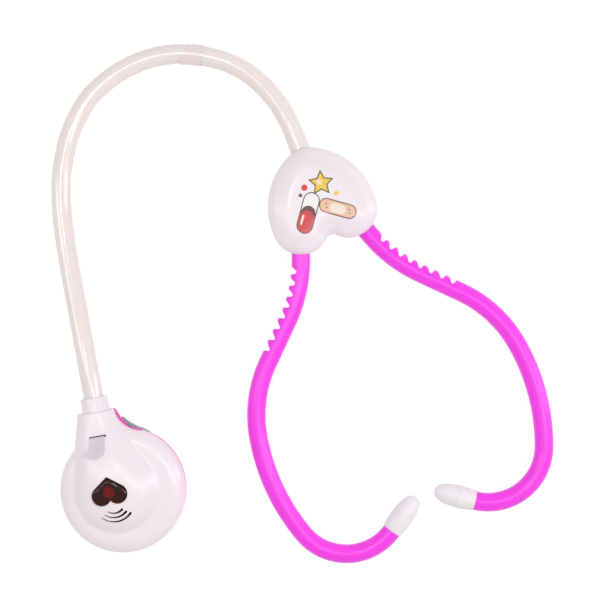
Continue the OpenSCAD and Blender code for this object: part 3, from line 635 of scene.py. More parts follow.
@dataclass(frozen=True)
class Star:
    """One star of the print."""

    color: Color
    middle: tuple[float, float]
    reach: float
    turn: float = 74.0

    def mask(self, bench: NodeBench, effects: Effects, where: NodeSocket) -> NodeSocket:
        """Mask of the star.

        Args:
            bench: Bench for the material's tree.
            effects: Shared node groups.
            where: Place on the piece.

        Returns:
            The mask, from 0 to 1.
        """
        wires = {"Place": where, "Middle": metres(self.middle), "Reach": self.reach * MM,
                 "Turn": math.radians(self.turn)}
        return bench.group(effects.star, wires).outputs["Mask"]


@dataclass(frozen=True)
class PrintedFinish(Finish):
    """A glossy skin with a print of strokes and stars over it."""

    marks: tuple[Ink | Star, ...] = ()

    def make(self, effects: Effects) -> Material:
        """Builds the material.

        Args:
            effects: Shared node groups.

        Returns:
            The material.
        """
        material, bench, shader = self.start()
        skin = self.skin(bench, effects)
        where = bench.add("ShaderNodeTexCoord").outputs["Object"]
        color = skin.outputs["Color"]
        for mark in self.marks:
            color = bench.mix(mark.mask(bench, effects, where), color, mark.color)
        self.wire(bench, shader, color, skin)
        return material


RED = srgb(214, 24, 34)
MAROON = srgb(96, 22, 26)
YELLOW = srgb(250, 206, 40)
PEACH = srgb(248, 196, 164)
PALE = srgb(255, 236, 222)
BLACK = srgb(24, 14, 16)
WHITE = srgb(252, 250, 250)

PRINT_MARKS: tuple[Ink | Star, ...] = (
    Ink(BLACK, (-10.5, -6.5), (-3.5, 3.5), 4.0),
    Ink(RED, (-10.5, -6.5), (-7.0, -1.5), 3.5),
    Ink(WHITE, (-6.4, -0.6), (-3.5, 3.5), 3.5),
    Ink(MAROON, (-7.9, -2.8), (-7.0, -1.5), 3.45),
    Ink(RED, (-10.5, -6.5), (-8.5, -3.6), 3.5),
    Ink(PALE, (-11.9, -5.2), (-9.6, -2.0), 0.5),
    Ink(MAROON, (2.4, -1.0), (11.6, -7.6), 3.5),
    Ink(PEACH, (2.4, -1.0), (11.6, -7.6), 3.0),
    Ink(PALE, (5.7, -3.4), (8.3, -5.2), 2.2),
    dot(MAROON, (2.6, -0.2), 0.35),
    dot(MAROON, (2.2, -1.9), 0.35),
    dot(MAROON, (11.8, -6.7), 0.35),
    dot(MAROON, (11.4, -8.4), 0.35),
    Star(BLACK, (3.6, 9.8), 6.4),
    Star(YELLOW, (3.6, 9.8), 5.2),
    Star(PALE, (3.0, 10.6), 1.9),
    dot(RED, (-4.6, 10.4), 1.5),
    dot(MAROON, (-7.6, 7.6), 0.9),
    dot(YELLOW, (8.8, 2.8), 1.1),
)


class Finishes:
    """Every finish of the toy, made once and handed out by name."""

    def __init__(self, effects: Effects) -> None:
        """Builds all the materials.

        Args:
            effects: Shared node groups.
        """
        pearl = dict(color=srgb(247, 235, 241), tint=srgb(243, 227, 236), cloud=0.5, scale=45, roughness=0.34,
                     spread=0.08, peel=0.015, coat=0.35, coat_roughness=0.16, subsurface=0.15)
        # A paler copy of the pearl for the print film on the hub's crown: painted light, for the brighter
        # light that falls on the hub's top.
        painted_light_pearl = dict(color=srgb(255, 244, 250), tint=srgb(252, 238, 246))
        table: tuple[Finish, ...] = (
            Finish("pearl_plastic", **pearl),
            PrintedFinish("printed_pearl_painted_light", marks=PRINT_MARKS, **(pearl | painted_light_pearl)),
            Finish("pink_plastic", srgb(240, 66, 178), srgb(232, 56, 168), roughness=0.28, spread=0.03,
                   peel=0.008, coat=0.4),
            Finish("magenta_plastic", srgb(252, 58, 240), srgb(246, 40, 226), cloud=0.6, scale=35,
                   roughness=0.33, spread=0.1, peel=0.03, coat=0.15, coat_roughness=0.2, subsurface=0.1),
            Finish("white_rubber", srgb(244, 238, 242), srgb(234, 226, 232), roughness=0.42, spread=0.12,
                   peel=0.03, subsurface=0.25),
            Finish("milky_hose", srgb(243, 231, 229), srgb(232, 220, 221), cloud=0.6, scale=30,
                   roughness=0.18, peel=0.01, coat=0.6, coat_roughness=0.05, subsurface=0.5,
                   subsurface_reach=0.004),
            Finish("milky_tape", srgb(254, 232, 231), srgb(250, 224, 224), cloud=0.8, scale=160,
                   roughness=0.24, spread=0.2, peel=0.12, coat=0.5, subsurface=0.2),
            Finish("milky_film", srgb(226, 213, 221), srgb(214, 200, 210), cloud=0.6, scale=90,
                   roughness=0.35, spread=0.1, peel=0.05, coat=0.2, subsurface=0.2),
            Finish("grey_button", srgb(134, 152, 162), srgb(116, 136, 148), roughness=0.42, spread=0.12,
                   peel=0.05),
            Finish("red_glass", srgb(206, 24, 34), srgb(190, 16, 26), roughness=0.05, spread=0.03, peel=0.004,
                   transmission=1.0, ior=1.25, specular=0.0, coat=0.15, coat_roughness=0.04),
            Finish("red_lamp", srgb(206, 8, 16), srgb(180, 4, 10), roughness=0.2, coat=0.4, glow=0.5),
            Finish("black_shroud", srgb(14, 6, 8), srgb(22, 10, 12), roughness=0.6, spread=0.1),
            Finish("white_holder", srgb(226, 224, 222), srgb(212, 210, 208), roughness=0.4),
            Finish("screw_steel", srgb(188, 188, 192), srgb(150, 150, 156), roughness=0.3, spread=0.2,
                   metallic=1.0, scale=300),
            Finish("cell_steel", srgb(206, 206, 210), srgb(180, 180, 186), roughness=0.22, metallic=1.0,
                   scale=200),
            Finish("contact_brass", srgb(214, 178, 96), srgb(186, 146, 66), roughness=0.3, metallic=1.0,
                   scale=200),
            Finish("speaker_grey", srgb(104, 106, 110), srgb(86, 88, 92), roughness=0.4, metallic=0.6),
            Finish("cone_paper", srgb(26, 26, 28), srgb(40, 40, 42), roughness=0.75, spread=0.2, peel=0.3,
                   scale=200),
            Finish("magnet_grey", srgb(150, 152, 156), srgb(120, 122, 126), roughness=0.35, metallic=0.9),
            Finish("board_green", srgb(40, 112, 74), srgb(30, 92, 60), roughness=0.35, coat=0.3, scale=120),
            Finish("black_resin", srgb(22, 22, 24), srgb(34, 34, 38), roughness=0.3, coat=0.3),
        )
        self.made = {finish.name: finish.make(effects) for finish in table}

    def give(self, piece: Object, name: str) -> None:
        """Puts one finish on a piece, in place of any other."""
        piece.data.materials.clear()
        piece.data.materials.append(self.made[name])


@dataclass
class Dresser:
    """Finishes pieces, ties them to the model and reports them."""

    finishes: Finishes

    def set_up(self, piece: Object, finish: str, body: Body, slot: str, *nodes: str) -> Object:
        """Gives a piece its finish and its body, and hides the nodes that it stands for.

        Args:
            piece: Finished piece.
            finish: Name of the finish.
            body: Body that the piece rides on.
            slot: Material slot of the record; not used.
            *nodes: Nodes that the piece replaces.

        Returns:
            The piece.
        """
        self.finishes.give(piece, finish)
        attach(piece, body.value)
        if nodes:
            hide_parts(*nodes)
        LOG.info("%s rides on %s with %s", piece.name, body.value, finish)
        return piece


@dataclass
class HeartHub:
    """The heart hub: a front and a rear shell that hold the arms and the hose, and the print on the front."""

    lobe: Vector = field(default_factory=lambda: Vector((12.3, -6)))
    lobe_r: float = 13.7
    notch_r: float = 3.5
    side_r: float = 34.3
    side_angle: float = 7.0
    tip_r: float = 14.0
    height: float = 18.0
    wall: float = 1.8
    crown_round: float = 11.5
    side_top: float = 11.5
    parting: float = 7.0
    back_round: float = 2.6
    back_rise: float = 3.6
    seam: float = 0.22
    seam_rise: float = 0.25
    seam_top: float = 1.6
    seam_floor: float = 0.2
    print_rim: int = 58
    print_lift: float = 0.06
    print_sink: float = 0.02
    slot_low: float = 2.0
    slot_high: float = 12.0
    slot_span: tuple[float, float] = (-95.8, -28.2)
    slot_reach: float = 16.7
    hose_r: float = 4.9
    hose_stop: float = 15.1
    bore_len: float = 40.0
    screws: tuple[tuple[float, float], ...] = ((0, 0.5), (-12.5, 11), (12.5, 11))
    seat: ScrewSeat = ScrewSeat()
    post_r: float = 2.0
    post_top: float = 13.5
    post_edge: float = 0.4
    foot_r: float = 3.2
    foot_top: float = 3.0
    sharp: float = 50.0
    print_sharp: float = 60.0
    arc_steps: tuple[int, int, int] = (8, 30, 26)
    fan_steps: int = 16

    def outline(self, inset: float, z: float) -> list[Vector]:
        """Heart outline at one height.

        Args:
            inset: How far the outline is drawn in.
            z: Height of the outline.

        Returns:
            Points round the heart.
        """
        notch = Vector((0, self.lobe.y - math.sqrt((self.lobe_r + self.notch_r) ** 2 - self.lobe.x**2)))
        notch_a = math.degrees(math.atan2(self.lobe.y - notch.y, self.lobe.x))
        lean = math.radians(self.side_angle)
        long = self.side_r - self.lobe_r
        side = Vector((self.lobe.x - long * math.cos(lean), self.lobe.y + long * math.sin(lean)))
        tip = Vector((0, side.y + math.sqrt((self.side_r - self.tip_r) ** 2 - side.x**2)))
        tip_a = math.degrees(math.atan2(tip.y - side.y, -side.x))
        few, round_lobe, down_side = self.arc_steps
        half = [
            *arc(notch, self.notch_r + inset, 90, notch_a, few),
            *arc(self.lobe, self.lobe_r - inset, notch_a + 180, 360 - self.side_angle, round_lobe),
            *arc(side, self.side_r - inset, -self.side_angle, tip_a, down_side),
            *arc(tip, self.tip_r - inset, tip_a, 90, few),
            polar(tip, self.tip_r - inset, 90),
        ]
        other = [Vector((-p.x, p.y)) for p in reversed(half[1:-1])]
        return [Vector((p.x, p.y, z)) for p in half + other]

    def crown(self, angle: float, wall: float = 0.0, lift: float = 0.0) -> list[Vector]:
        """Outline on the rounded front.

        Args:
            angle: Angle up the rounding, from 0 at the side to 90 on top.
            wall: How far inside the outer face the outline lies.
            lift: How far above the face it lies.

        Returns:
            Points round the heart.
        """
        turn = math.radians(angle)
        inset = wall + (self.crown_round - wall) * (1 - math.cos(turn))
        rise = (self.height - wall - self.side_top) * math.sin(turn)
        return self.outline(inset, self.side_top + rise + lift)

    def under(self, angle: float, wall: float = 0.0) -> list[Vector]:
        """Outline on the rounded back, from 90 at the flat to 0 at the side.

        Args:
            angle: Angle down the rounding in degrees.
            wall: How far inside the outer face the outline lies.

        Returns:
            Points round the heart.
        """
        turn = math.radians(angle)
        inset = wall + self.back_round * (1 - math.cos(turn))
        return self.outline(inset, wall + self.back_rise * (1 - math.sin(turn)))

    def seam_rings(self, step: float) -> list[list[Vector]]:
        """Outlines of the rim at the parting plane, with a fine groove, on the side that step points to.

        Args:
            step: Height of the rim's edge over the parting plane, below 0 for the rear.

        Returns:
            Rings from the outside to the inside.
        """
        floor = self.parting + step * self.seam_floor
        return [
            self.outline(0, self.parting + step * self.seam_top),
            self.outline(0, self.parting + step),
            self.outline(self.seam, floor),
            self.outline(self.wall, floor),
        ]

    def swing_rooms(self) -> list[MeshPiece]:
        """Shapes that the arms and the hose need in the shells.

        Returns:
            One cutter for each arm and one for the hose.
        """
        fan = [CENTRE, *arc(CENTRE, self.slot_reach, *self.slot_span, self.fan_steps)]
        fan.append(polar(CENTRE, self.slot_reach, self.slot_span[1]))
        rooms = []
        for side in Side:
            room = MeshPiece(f"{side.word}_swing_room")
            edge = [Vector((side.value * (self.lobe.x + p.x), self.lobe.y + p.y)) for p in fan]
            room.prism(edge, self.slot_low, self.slot_high)
            rooms.append(room)
        bore = MeshPiece("hub_hose_bore")
        bore.rod(self.hose_r, 0, self.bore_len, along_y(0, self.hose_stop, self.parting))
        return [*rooms, bore]

    def build_front(self) -> Object:
        """Front shell, hollow, with room for the arms and the hose.

        Returns:
            The shell.
        """
        shell = MeshPiece("hub_front")
        outside = [self.crown(a) for a in range(90, -1, -5)]
        inside = [self.crown(a, self.wall) for a in range(0, 91, 10)]
        shell.loft([*outside, *self.seam_rings(self.seam_rise), *inside])
        piece = shell.make(self.sharp)
        carve(piece, self.swing_rooms(), self.sharp)
        return piece

    def build_rear(self) -> Object:
        """Rear shell with its posts and screw bosses.

        Returns:
            The shell.
        """
        shell = MeshPiece("hub_rear")
        outside = [self.under(a) for a in range(90, -1, -10)]
        inside = [self.under(a, self.wall) for a in range(0, 91, 15)]
        shell.loft([*outside, *self.seam_rings(-self.seam_rise), *inside])
        piece = shell.make(self.sharp)
        heads = MeshPiece("screw_heads")
        self.seat.sink(heads, self.screws)
        carve(piece, [*self.swing_rooms(), heads], self.sharp)
        inner = MeshPiece("hub_rear_bosses")
        self.seat.build_up(inner, self.screws, self.parting)
        foot, top, edge = self.seat.foot, self.post_top, self.post_edge
        post = [(0, foot), (self.foot_r, foot), (self.foot_r, self.foot_top), (self.post_r, self.foot_top),
                (self.post_r, top - edge), (self.post_r - edge, top), (0, top)]
        for side in Side:
            spot = Matrix.Translation((side.value * self.lobe.x, self.lobe.y, 0))
            inner.lathe(post, spot, self.seat.steps)
        join(piece, inner.make(self.sharp))
        return piece

    def build_print(self) -> Object:
        """Printed film on the crown.

        Returns:
            The film.
        """
        film = MeshPiece("hub_print")
        top = [self.crown(a, lift=self.print_lift) for a in range(90, self.print_rim - 1, -4)]
        under = [self.crown(a, lift=-self.print_sink) for a in range(self.print_rim, 91, 8)]
        film.loft([*top, *under])
        return film.make(self.print_sharp)

    def dress(self, dresser: Dresser) -> None:
        """Builds the three pieces and finishes them.

        Args:
            dresser: Hand that finishes pieces and ties them to the model.
        """
        dresser.set_up(self.build_front(), "pearl_plastic", Body.HOUSING, "shell_white", "hub_front_shell")
        dresser.set_up(self.build_rear(), "pearl_plastic", Body.HOUSING, "shell_white", "hub_rear_shell")
        # The print film's paler pearl is painted light on the hub's top.
        dresser.set_up(self.build_print(), "printed_pearl_painted_light", Body.HOUSING, "print_film", "hub_badge")


@dataclass
class EarArm:
    """One ear arm with its notches and its soft ear tip."""

    side: Side
    pivot: Vector = field(default_factory=lambda: Vector((12.3, -6, 7)))
    heading: float = 20.0
    radius: float = 4.5
    runs: tuple[tuple[float, float], ...] = (
        (16.1, 0), (70, 25), (22, 0), (60, -35), (100, -30), (27, -104))
    root: float = 4.8
    eye_r: float = 6.0
    eye_h: float = 7.4
    bore_r: float = 2.05
    notches: int = 8
    notch_start: float = 22.1
    notch_pitch: float = 5.8
    notch_floor: float = 2.9
    notch_root: float = 1.0
    notch_lead: float = 40.0
    notch_trail: float = 15.0
    notch_soft: float = 0.35
    notch_margin: float = 4.0
    ring_steps: tuple[float, float] = (0.2, 1.0)
    end_slack: float = 0.05
    edge: float = 0.4
    sides: int = 44
    tip_len: float = 20.0
    tip_straight: float = 9.0
    tip_base_r: float = 4.75
    tip_max_r: float = 5.5
    tip_foot: tuple[tuple[float, float], ...] = ((0.35, 0.02), (0.1, 0.12))
    tip_levels: tuple[float, ...] = (0.4, 1.0, 2.0, 4.0, 6.0, 8.0, 8.7)
    tip_seam: tuple[tuple[float, float], ...] = ((0.04, 8.85), (0.28, 9.0), (0.28, 9.15))
    nose_inset: float = 0.12
    nose_power: float = 0.75
    spigot_r: float = 2.6
    spigot_len: float = 11.0
    spigot_root: float = 0.5
    spigot_steps: int = 32
    tip_steps: int = 56
    bore_play: tuple[float, float] = (0.05, 0.3)
    sharp: float = 50.0
    tip_sharp: float = 40.0

    @property
    def body(self) -> Body:
        """Body that this arm's pieces ride on."""
        return Body.RIGHT_ARM if self.side is Side.RIGHT else Body.LEFT_ARM

    def run_length(self, run: tuple[float, float]) -> float:
        """Length of one run: a straight one's own, or an arc's."""
        return run[0] if run[1] == 0 else run[0] * math.radians(abs(run[1]))

    @property
    def length(self) -> float:
        """Length of the arm's centre line from the pivot."""
        return sum(self.run_length(run) for run in self.runs)

    def along(self, distance: float) -> tuple[Vector, float]:
        """Point and heading on the centre line, with X along the first run and Y outwards.

        Args:
            distance: Distance from the pivot along the arm.

        Returns:
            The point, and the heading in radians.
        """
        point = Vector((0, 0))
        heading = 0.0
        left = distance
        for run in self.runs:
            go = min(left, self.run_length(run))
            if run[1] == 0:
                point = point + go * Vector((math.cos(heading), math.sin(heading)))
            else:
                bend = math.copysign(run[0], run[1])
                centre = point + bend * Vector((-math.sin(heading), math.cos(heading)))
                heading += go / bend
                point = centre + bend * Vector((math.sin(heading), -math.cos(heading)))
            left -= go
            if left <= 1e-9:
                break
        return point, heading

    def notch_cut(self, distance: float) -> float:
        """How far out the arm reaches at a distance along it, as the notches leave it.

        Args:
            distance: Distance from the pivot along the arm.

        Returns:
            The reach from the centre line, past the radius where there is no notch.
        """
        nearest = round((distance - self.notch_start) / self.notch_pitch)
        if not 0 <= nearest < self.notches:
            return 2 * self.radius
        past = distance - self.notch_start - nearest * self.notch_pitch
        lean = math.radians(self.notch_trail if past > 0 else self.notch_lead)
        gap = abs(past) - self.notch_root * math.cos(lean)
        if gap < 0:
            return self.notch_floor - math.sqrt(self.notch_root**2 - past**2)
        return self.notch_floor - self.notch_root * math.sin(lean) + gap / math.tan(lean)

    def ring_at(self, distance: float, radius: float) -> list[Vector]:
        """Ring square to the arm, cut off where a notch is.

        Args:
            distance: Distance from the pivot along the arm.
            radius: Radius of the ring.

        Returns:
            Points round the arm, in the arm's frame.
        """
        point, heading = self.along(distance)
        out = Vector((-math.sin(heading), math.cos(heading)))
        cut = self.notch_cut(distance)
        points = []
        for i in range(self.sides):
            turn = math.tau * (i + 0.5) / self.sides
            reach = smooth_min(radius * math.cos(turn), cut, self.notch_soft)
            points.append(Vector((*(point + reach * out), radius * math.sin(turn))))
        return points

    def stations(self) -> list[float]:
        """Distances along the arm at which it gets a ring, close together at the notches.

        Returns:
            The distances, from the root to the end.
        """
        notched = self.notch_start + (self.notches - 1) * self.notch_pitch + self.notch_margin
        short, long = self.ring_steps
        places = [self.root]
        while places[-1] < self.length - self.end_slack:
            fine = self.notch_start - self.notch_margin < places[-1] < notched
            places.append(min(places[-1] + (short if fine else long), self.length))
        return places

    @property
    def placing(self) -> Matrix:
        """Place of the arm's frame in the model.

        Returns:
            The place, mirrored for the left arm.
        """
        turn = Matrix.Rotation(math.radians(self.heading - 90), 4, "Z")
        mirror = Matrix.Scale(self.side.value, 4, (1, 0, 0))
        return mirror @ Matrix.Translation(self.pivot) @ turn

    @property
    def end_place(self) -> Matrix:
        """Place of the arm's end in the arm's frame, with its axis along the arm.

        Returns:
            The place.
        """
        point, heading = self.along(self.length)
        turn = Matrix.Rotation(heading, 4, "Z") @ Matrix.Rotation(math.pi / 2, 4, "Y")
        return Matrix.Translation((point.x, point.y, 0)) @ turn

    def build_arm(self) -> Object:
        """Arm with its eye and its spigot.

        Returns:
            The arm.
        """
        arm = MeshPiece(f"{self.side.word}_arm_rod")
        places = self.stations()
        edge = self.edge
        rings = [self.ring_at(places[0], self.radius - edge)]
        rings += [self.ring_at(place, self.radius) for place in places]
        arm.loft(rings)
        half = self.eye_h / 2
        eye = [(self.bore_r, -half), (self.eye_r - edge, -half), (self.eye_r, edge - half),
               (self.eye_r, half - edge), (self.eye_r - edge, half), (self.bore_r, half)]
        arm.lathe(eye, Matrix.Identity(4))
        root, end = -self.spigot_root, self.spigot_len
        spigot = [(0, root), (self.spigot_r, root), (self.spigot_r, end - edge), (self.spigot_r - edge, end),
                  (0, end)]
        arm.lathe(spigot, self.end_place, self.spigot_steps)
        arm.place(self.placing)
        return arm.make(self.sharp)

    def build_tip(self) -> Object:
        """Soft ear tip with a fine ring seam and a blind bore.

        Returns:
            The ear tip.
        """
        nose = self.tip_len - self.tip_straight
        swell = self.tip_max_r - self.tip_base_r
        bore = self.spigot_r + self.bore_play[0]
        blind = self.spigot_len + self.bore_play[1]
        profile = [(0.0, blind), (bore, blind), (bore, self.tip_foot[0][1])]
        profile += [(self.tip_base_r - inset, z) for inset, z in self.tip_foot]
        for z in self.tip_levels:
            profile.append((self.tip_base_r + swell * math.sin(z / self.tip_straight * math.pi / 2), z))
        profile += [(self.tip_max_r - inset, z) for inset, z in self.tip_seam]
        for angle in range(2, 90, 4):
            turn = math.radians(angle)
            reach = (self.tip_max_r - self.nose_inset) * math.cos(turn) ** self.nose_power
            profile.append((reach, self.tip_straight + nose * math.sin(turn)))
        profile.append((0.0, self.tip_len))
        tip = MeshPiece(f"{self.side.word}_tip_rubber")
        tip.lathe(profile, self.end_place, self.tip_steps)
        tip.place(self.placing)
        return tip.make(self.tip_sharp)

    def dress(self, dresser: Dresser) -> None:
        """Builds the arm and its tip and finishes them.

        Args:
            dresser: Hand that finishes pieces and ties them to the model.
        """
        word = self.side.word
        dresser.set_up(self.build_arm(), "magenta_plastic", self.body, "arm_magenta", f"{word}_ear_arm")
        dresser.set_up(self.build_tip(), "white_rubber", self.body, "tip_white", f"{word}_ear_tip")


@dataclass
class ChestPiece:
    """The chest piece: two shells, the lit heart lens, the side button and the pull tab."""

    middle: Vector = field(default_factory=lambda: Vector((-135.5, -95.5, 0)))
    turn: float = -10.0
    body_r: float = 30.0
    wall: float = 1.8
    split: float = 11.5
    shoulder: float = 19.0
    shoulder_round: float = 7.0
    shoulder_edge: float = 2.0
    base_r: float = 24.0
    base_rise: float = 8.0
    dome: Vector = field(default_factory=lambda: Vector((-2.5, 0.5)))
    dome_r: float = 22.2
    dome_h: float = 25.5
    neck_x: float = -6.5
    neck_r: float = 8.1
    neck_end: float = 39.0
    neck_h: float = 20.0
    neck_drop: float = 9.6
    tear_axis: Vector = field(default_factory=lambda: Vector((-6.9, 40)))
    crest_start: float = 4.0
    tear_full: float = 0.7
    belly_power: float = 4.0
    collar_root: float = 3.0
    collar_end: float = 46.0
    collar_r: float = 6.4
    collar_edge: tuple[tuple[float, float], ...] = ((0, 0.5), (0.15, 0.15), (0.5, 0))
    collar_mouth: float = 0.2
    collar_steps: int = 36
    hose_r: float = 4.9
    seat_end: float = 33.0
    bore_len: float = 5.9
    web_top: float = 17.5
    web_low: float = 2.9
    web_fall: float = 0.5
    web_foot: tuple[tuple[float, float], ...] = ((8, 95), (8, 73), (0.4, 65))
    scoop_dir: float = 68.2
    scoop_out: float = 13.1
    scoop_r: float = 13.8
    ledge: float = 1.0
    soft: float = 0.9
    edge_round: float = 0.9
    edge_share: float = 0.5
    rim_share: float = 0.9999
    rim_gap: float = 0.03
    rim_rise: float = 0.3
    rim_bevel: float = 0.2
    fine_ways: tuple[float, float, int] = (40, 0.7, 122)
    coarse_ways: tuple[float, float, int] = (125.4, 2.6, 105)
    face_rings: int = 50
    inner_rings: int = 24
    farthest: float = 60.0
    halvings: int = 26
    sharp: float = 48.0
    fine_sharp: float = 40.0
    cut_low: float = 14.0
    cut_top: float = 40.0
    cut_past: float = 1.0
    lens_at: Vector = field(default_factory=lambda: Vector((-5.2, 1.7)))
    lens_lobe: Vector = field(default_factory=lambda: Vector((3.85, -1.9)))
    lens_lobe_r: float = 4.6
    lens_point: float = 6.7
    lens_seat: float = 22.9
    lens_top: float = 25.9
    lens_round: float = 2.5
    lens_drop: float = 0.9
    lens_gap: float = 0.12
    lens_root: float = 0.5
    lens_flange: tuple[float, float] = (1.2, 1.0)
    shroud_grow: float = 0.9
    shroud_drop: tuple[float, float] = (1.9, 1.1)
    lamp_at: Vector = field(default_factory=lambda: Vector((-6.2, 0.5)))
    lamp_hole: float = 3.2
    slot_at: Vector = field(default_factory=lambda: Vector((-3.9, -3.8)))
    slots: tuple[tuple[float, float], ...] = ((5.3, 40), (7.4, 43.5), (9.5, 47))
    slot_w: tuple[float, float] = (0.4, 1.1)
    slot_steps: int = 32
    slit_y: float = 27.5
    slit_half: tuple[float, float] = (4.0, 0.5)
    slit_low: float = 13.0
    screws: tuple[tuple[float, float], ...] = ((-22, -8), (14, -19), (17.5, 11.5))
    seat: ScrewSeat = ScrewSeat()
    cover_x: float = -6.9
    cover_half: float = 7.0
    cover_y: tuple[float, float] = (3.2, 20.6)
    cover_t: float = 1.2
    cover_gap: float = 0.2
    cover_mouth: tuple[float, float] = (9.3, 19.1)
    mouth_inset: float = 1.5
    mouth_top: float = 4.0
    button_out: float = 0.75
    button_dir: float = 51.4
    button_half: float = 9.0
    button_z: tuple[float, float] = (3.5, 9.2)
    button_front: float = 0.2
    button_back: float = -3.6
    button_gap: float = 0.3
    button_bevel: tuple[float, float] = (2.4, 1.4)
    button_soft: float = 0.35
    window_y: tuple[float, float] = (-8.0, 30.0)
    flange: tuple[float, float] = (-5.6, -4.4)
    flange_start: float = -6.0
    flange_past: float = 1.4
    core_front: float = -2.0
    core_inset: tuple[float, float] = (0.2, 0.4)
    stem_r: float = 1.3
    stem_end: float = -8.9
    stem_steps: int = 24
    press_z: float = 7.35
    dish_x: float = -2.5
    dish_r: float = 24.0
    dish_deep: float = 0.6
    tab_w: float = 7.4
    tab_t: float = 0.25
    tab_low: float = 5.8
    flap_len: float = 10.0
    tab_lift: float = 0.6
    tab_upright: float = 0.45
    tab_grid: tuple[int, int] = (10, 60)
    flap_edges: tuple[tuple[float, float, float], ...] = (
        (0.0, 0.0, -0.3), (0.3, -0.4, -1.0), (0.5, -1.0, -1.2), (0.65, -2.8, -1.3), (0.78, -3.6, -1.7),
        (0.88, -3.1, -2.8), (0.95, -1.8, -4.4), (1.0, 0.6, -6.0))

    @property
    def placing(self) -> Matrix:
        """Place of the chest piece in the model."""
        return Matrix.Translation(self.middle) @ Matrix.Rotation(math.radians(self.turn), 4, "Z")

    @property
    def scoop(self) -> Vector:
        """Centre of the finger scoop."""
        return polar(CENTRE, self.body_r + self.scoop_out, self.scoop_dir)

    @property
    def button_place(self) -> Matrix:
        """Place of the button: X along its length, Y outwards.

        Returns:
            The place in the chest piece's frame.
        """
        at = polar(CENTRE, self.body_r + self.button_out, self.scoop_dir)
        turn = Matrix.Rotation(math.radians(self.button_dir - 90), 4, "Z")
        return Matrix.Translation((at.x, at.y, 0)) @ turn

    def tear_share(self, x: float, y: float) -> float:
        """Where a point lies in the teardrop, from 0 on its spine to 1 on its outline.

        Args:
            x: First coordinate in the chest piece's plane.
            y: Second coordinate in that plane.

        Returns:
            The share, above 1 outside the teardrop.
        """
        spine = self.tear_axis - self.dome
        taper = self.neck_r - self.dome_r
        away = Vector((x, y)) - self.dome
        below = spine.length_squared * self.dome_r + taper * away.dot(spine)
        reach = (away.dot(spine) * self.dome_r + taper * away.length_squared) / below
        reach = min(1.0, max(0.0, reach))
        return (away - reach * spine).length / (self.dome_r + reach * taper)

    def crest(self, y: float) -> float:
        """Height of the teardrop's crest above the joint.

        Args:
            y: Place along the neck.

        Returns:
            The height.
        """
        start = self.dome.y + self.crest_start
        share = min(1.0, max(0.0, (y - start) / (self.neck_end - start)))
        ease = share * share * (3 - 2 * share)
        return self.dome_h - self.split + ease * (self.neck_h - self.dome_h)

    def web_gap(self, x: float, y: float) -> float:
        """How far a point lies outside the web between the neck and the body, below 0 inside it.

        Args:
            x: First coordinate in the chest piece's plane.
            y: Second coordinate in that plane.

        Returns:
            The gap.
        """
        web = [polar(CENTRE, self.body_r - inset, degrees) for inset, degrees in self.web_foot]
        web.append(Vector((self.neck_x + self.neck_r, self.neck_end)))
        point = Vector((x, y))
        pairs = zip(web, web[1:] + web[:1])
        return max((b - a).normalized().cross(point - a) for a, b in pairs)

    def inside(self, x: float, y: float, scoop_r: float) -> bool:
        """Whether a point lies in the outline of a shell whose scoop has this radius.

        Args:
            x: First coordinate in the chest piece's plane.
            y: Second coordinate in that plane.
            scoop_r: Radius of the shell's scoop.

        Returns:
            Whether it lies inside.
        """
        if (Vector((x, y)) - self.scoop).length < scoop_r:
            return False
        if math.hypot(x, y) <= self.body_r:
            return True
        if y <= self.neck_end and self.tear_share(x, y) <= 1:
            return True
        return self.web_gap(x, y) <= 0

    def outline_reach(self, degrees: float, scoop_r: float) -> float:
        """Distance from the dome's centre to the outline, by halving.

        Args:
            degrees: Direction from the dome's centre.
            scoop_r: Radius of the shell's scoop.

        Returns:
            The distance.
        """
        near, off = 0.0, self.farthest
        for _ in range(self.halvings):
            trial = (near + off) / 2
            spot = polar(self.dome, trial, degrees)
            if self.inside(spot.x, spot.y, scoop_r):
                near = trial
            else:
                off = trial
        return near

    def upper_height(self, x: float, y: float) -> float:
        """Height of the upper shell's outer face.

        Args:
            x: First coordinate in the chest piece's plane.
            y: Second coordinate in that plane.

        Returns:
            The height.
        """
        reach = math.hypot(x, y)
        height = self.split
        if reach <= self.body_r:
            rise = self.shoulder - self.split - self.shoulder_edge
            lean = max(0.0, 1 - (self.body_r - reach) / self.shoulder_round)
            height = self.split + self.shoulder_edge + rise * math.sqrt(1 - lean**2)
        web = self.web_top - self.web_fall * max(0.0, self.web_gap(x, y)) ** 2
        height = smooth_max(height, web, self.soft)
        share = self.tear_share(x, y)
        if share < 1:
            tear = self.split + self.crest(y) * math.sqrt(1 - share ** (2 / self.tear_full))
            height = smooth_max(height, tear, self.soft)
        return height

    def lower_height(self, x: float, y: float) -> float:
        """Height of the lower shell's outer face.

        Args:
            x: First coordinate in the chest piece's plane.
            y: Second coordinate in that plane.

        Returns:
            The height.
        """
        reach = math.hypot(x, y)
        height = self.split
        if reach <= self.body_r:
            lean = max(0.0, (reach - self.base_r) / (self.body_r - self.base_r))
            height = self.base_rise * (1 - math.sqrt(1 - min(1.0, lean) ** 2))
        if self.web_gap(x, y) <= 0:
            height = min(height, self.web_low)
        share = self.tear_share(x, y)
        if share < 1:
            belly = self.neck_drop * math.sqrt(1 - share**self.belly_power)
            height = min(height, self.split - belly)
        return height

    def directions(self) -> list[float]:
        """Directions of the shells' columns, close together at the neck and the scoop."""
        spans = (self.fine_ways, self.coarse_ways)
        return [start + step * i for start, step, count in spans for i in range(count)]

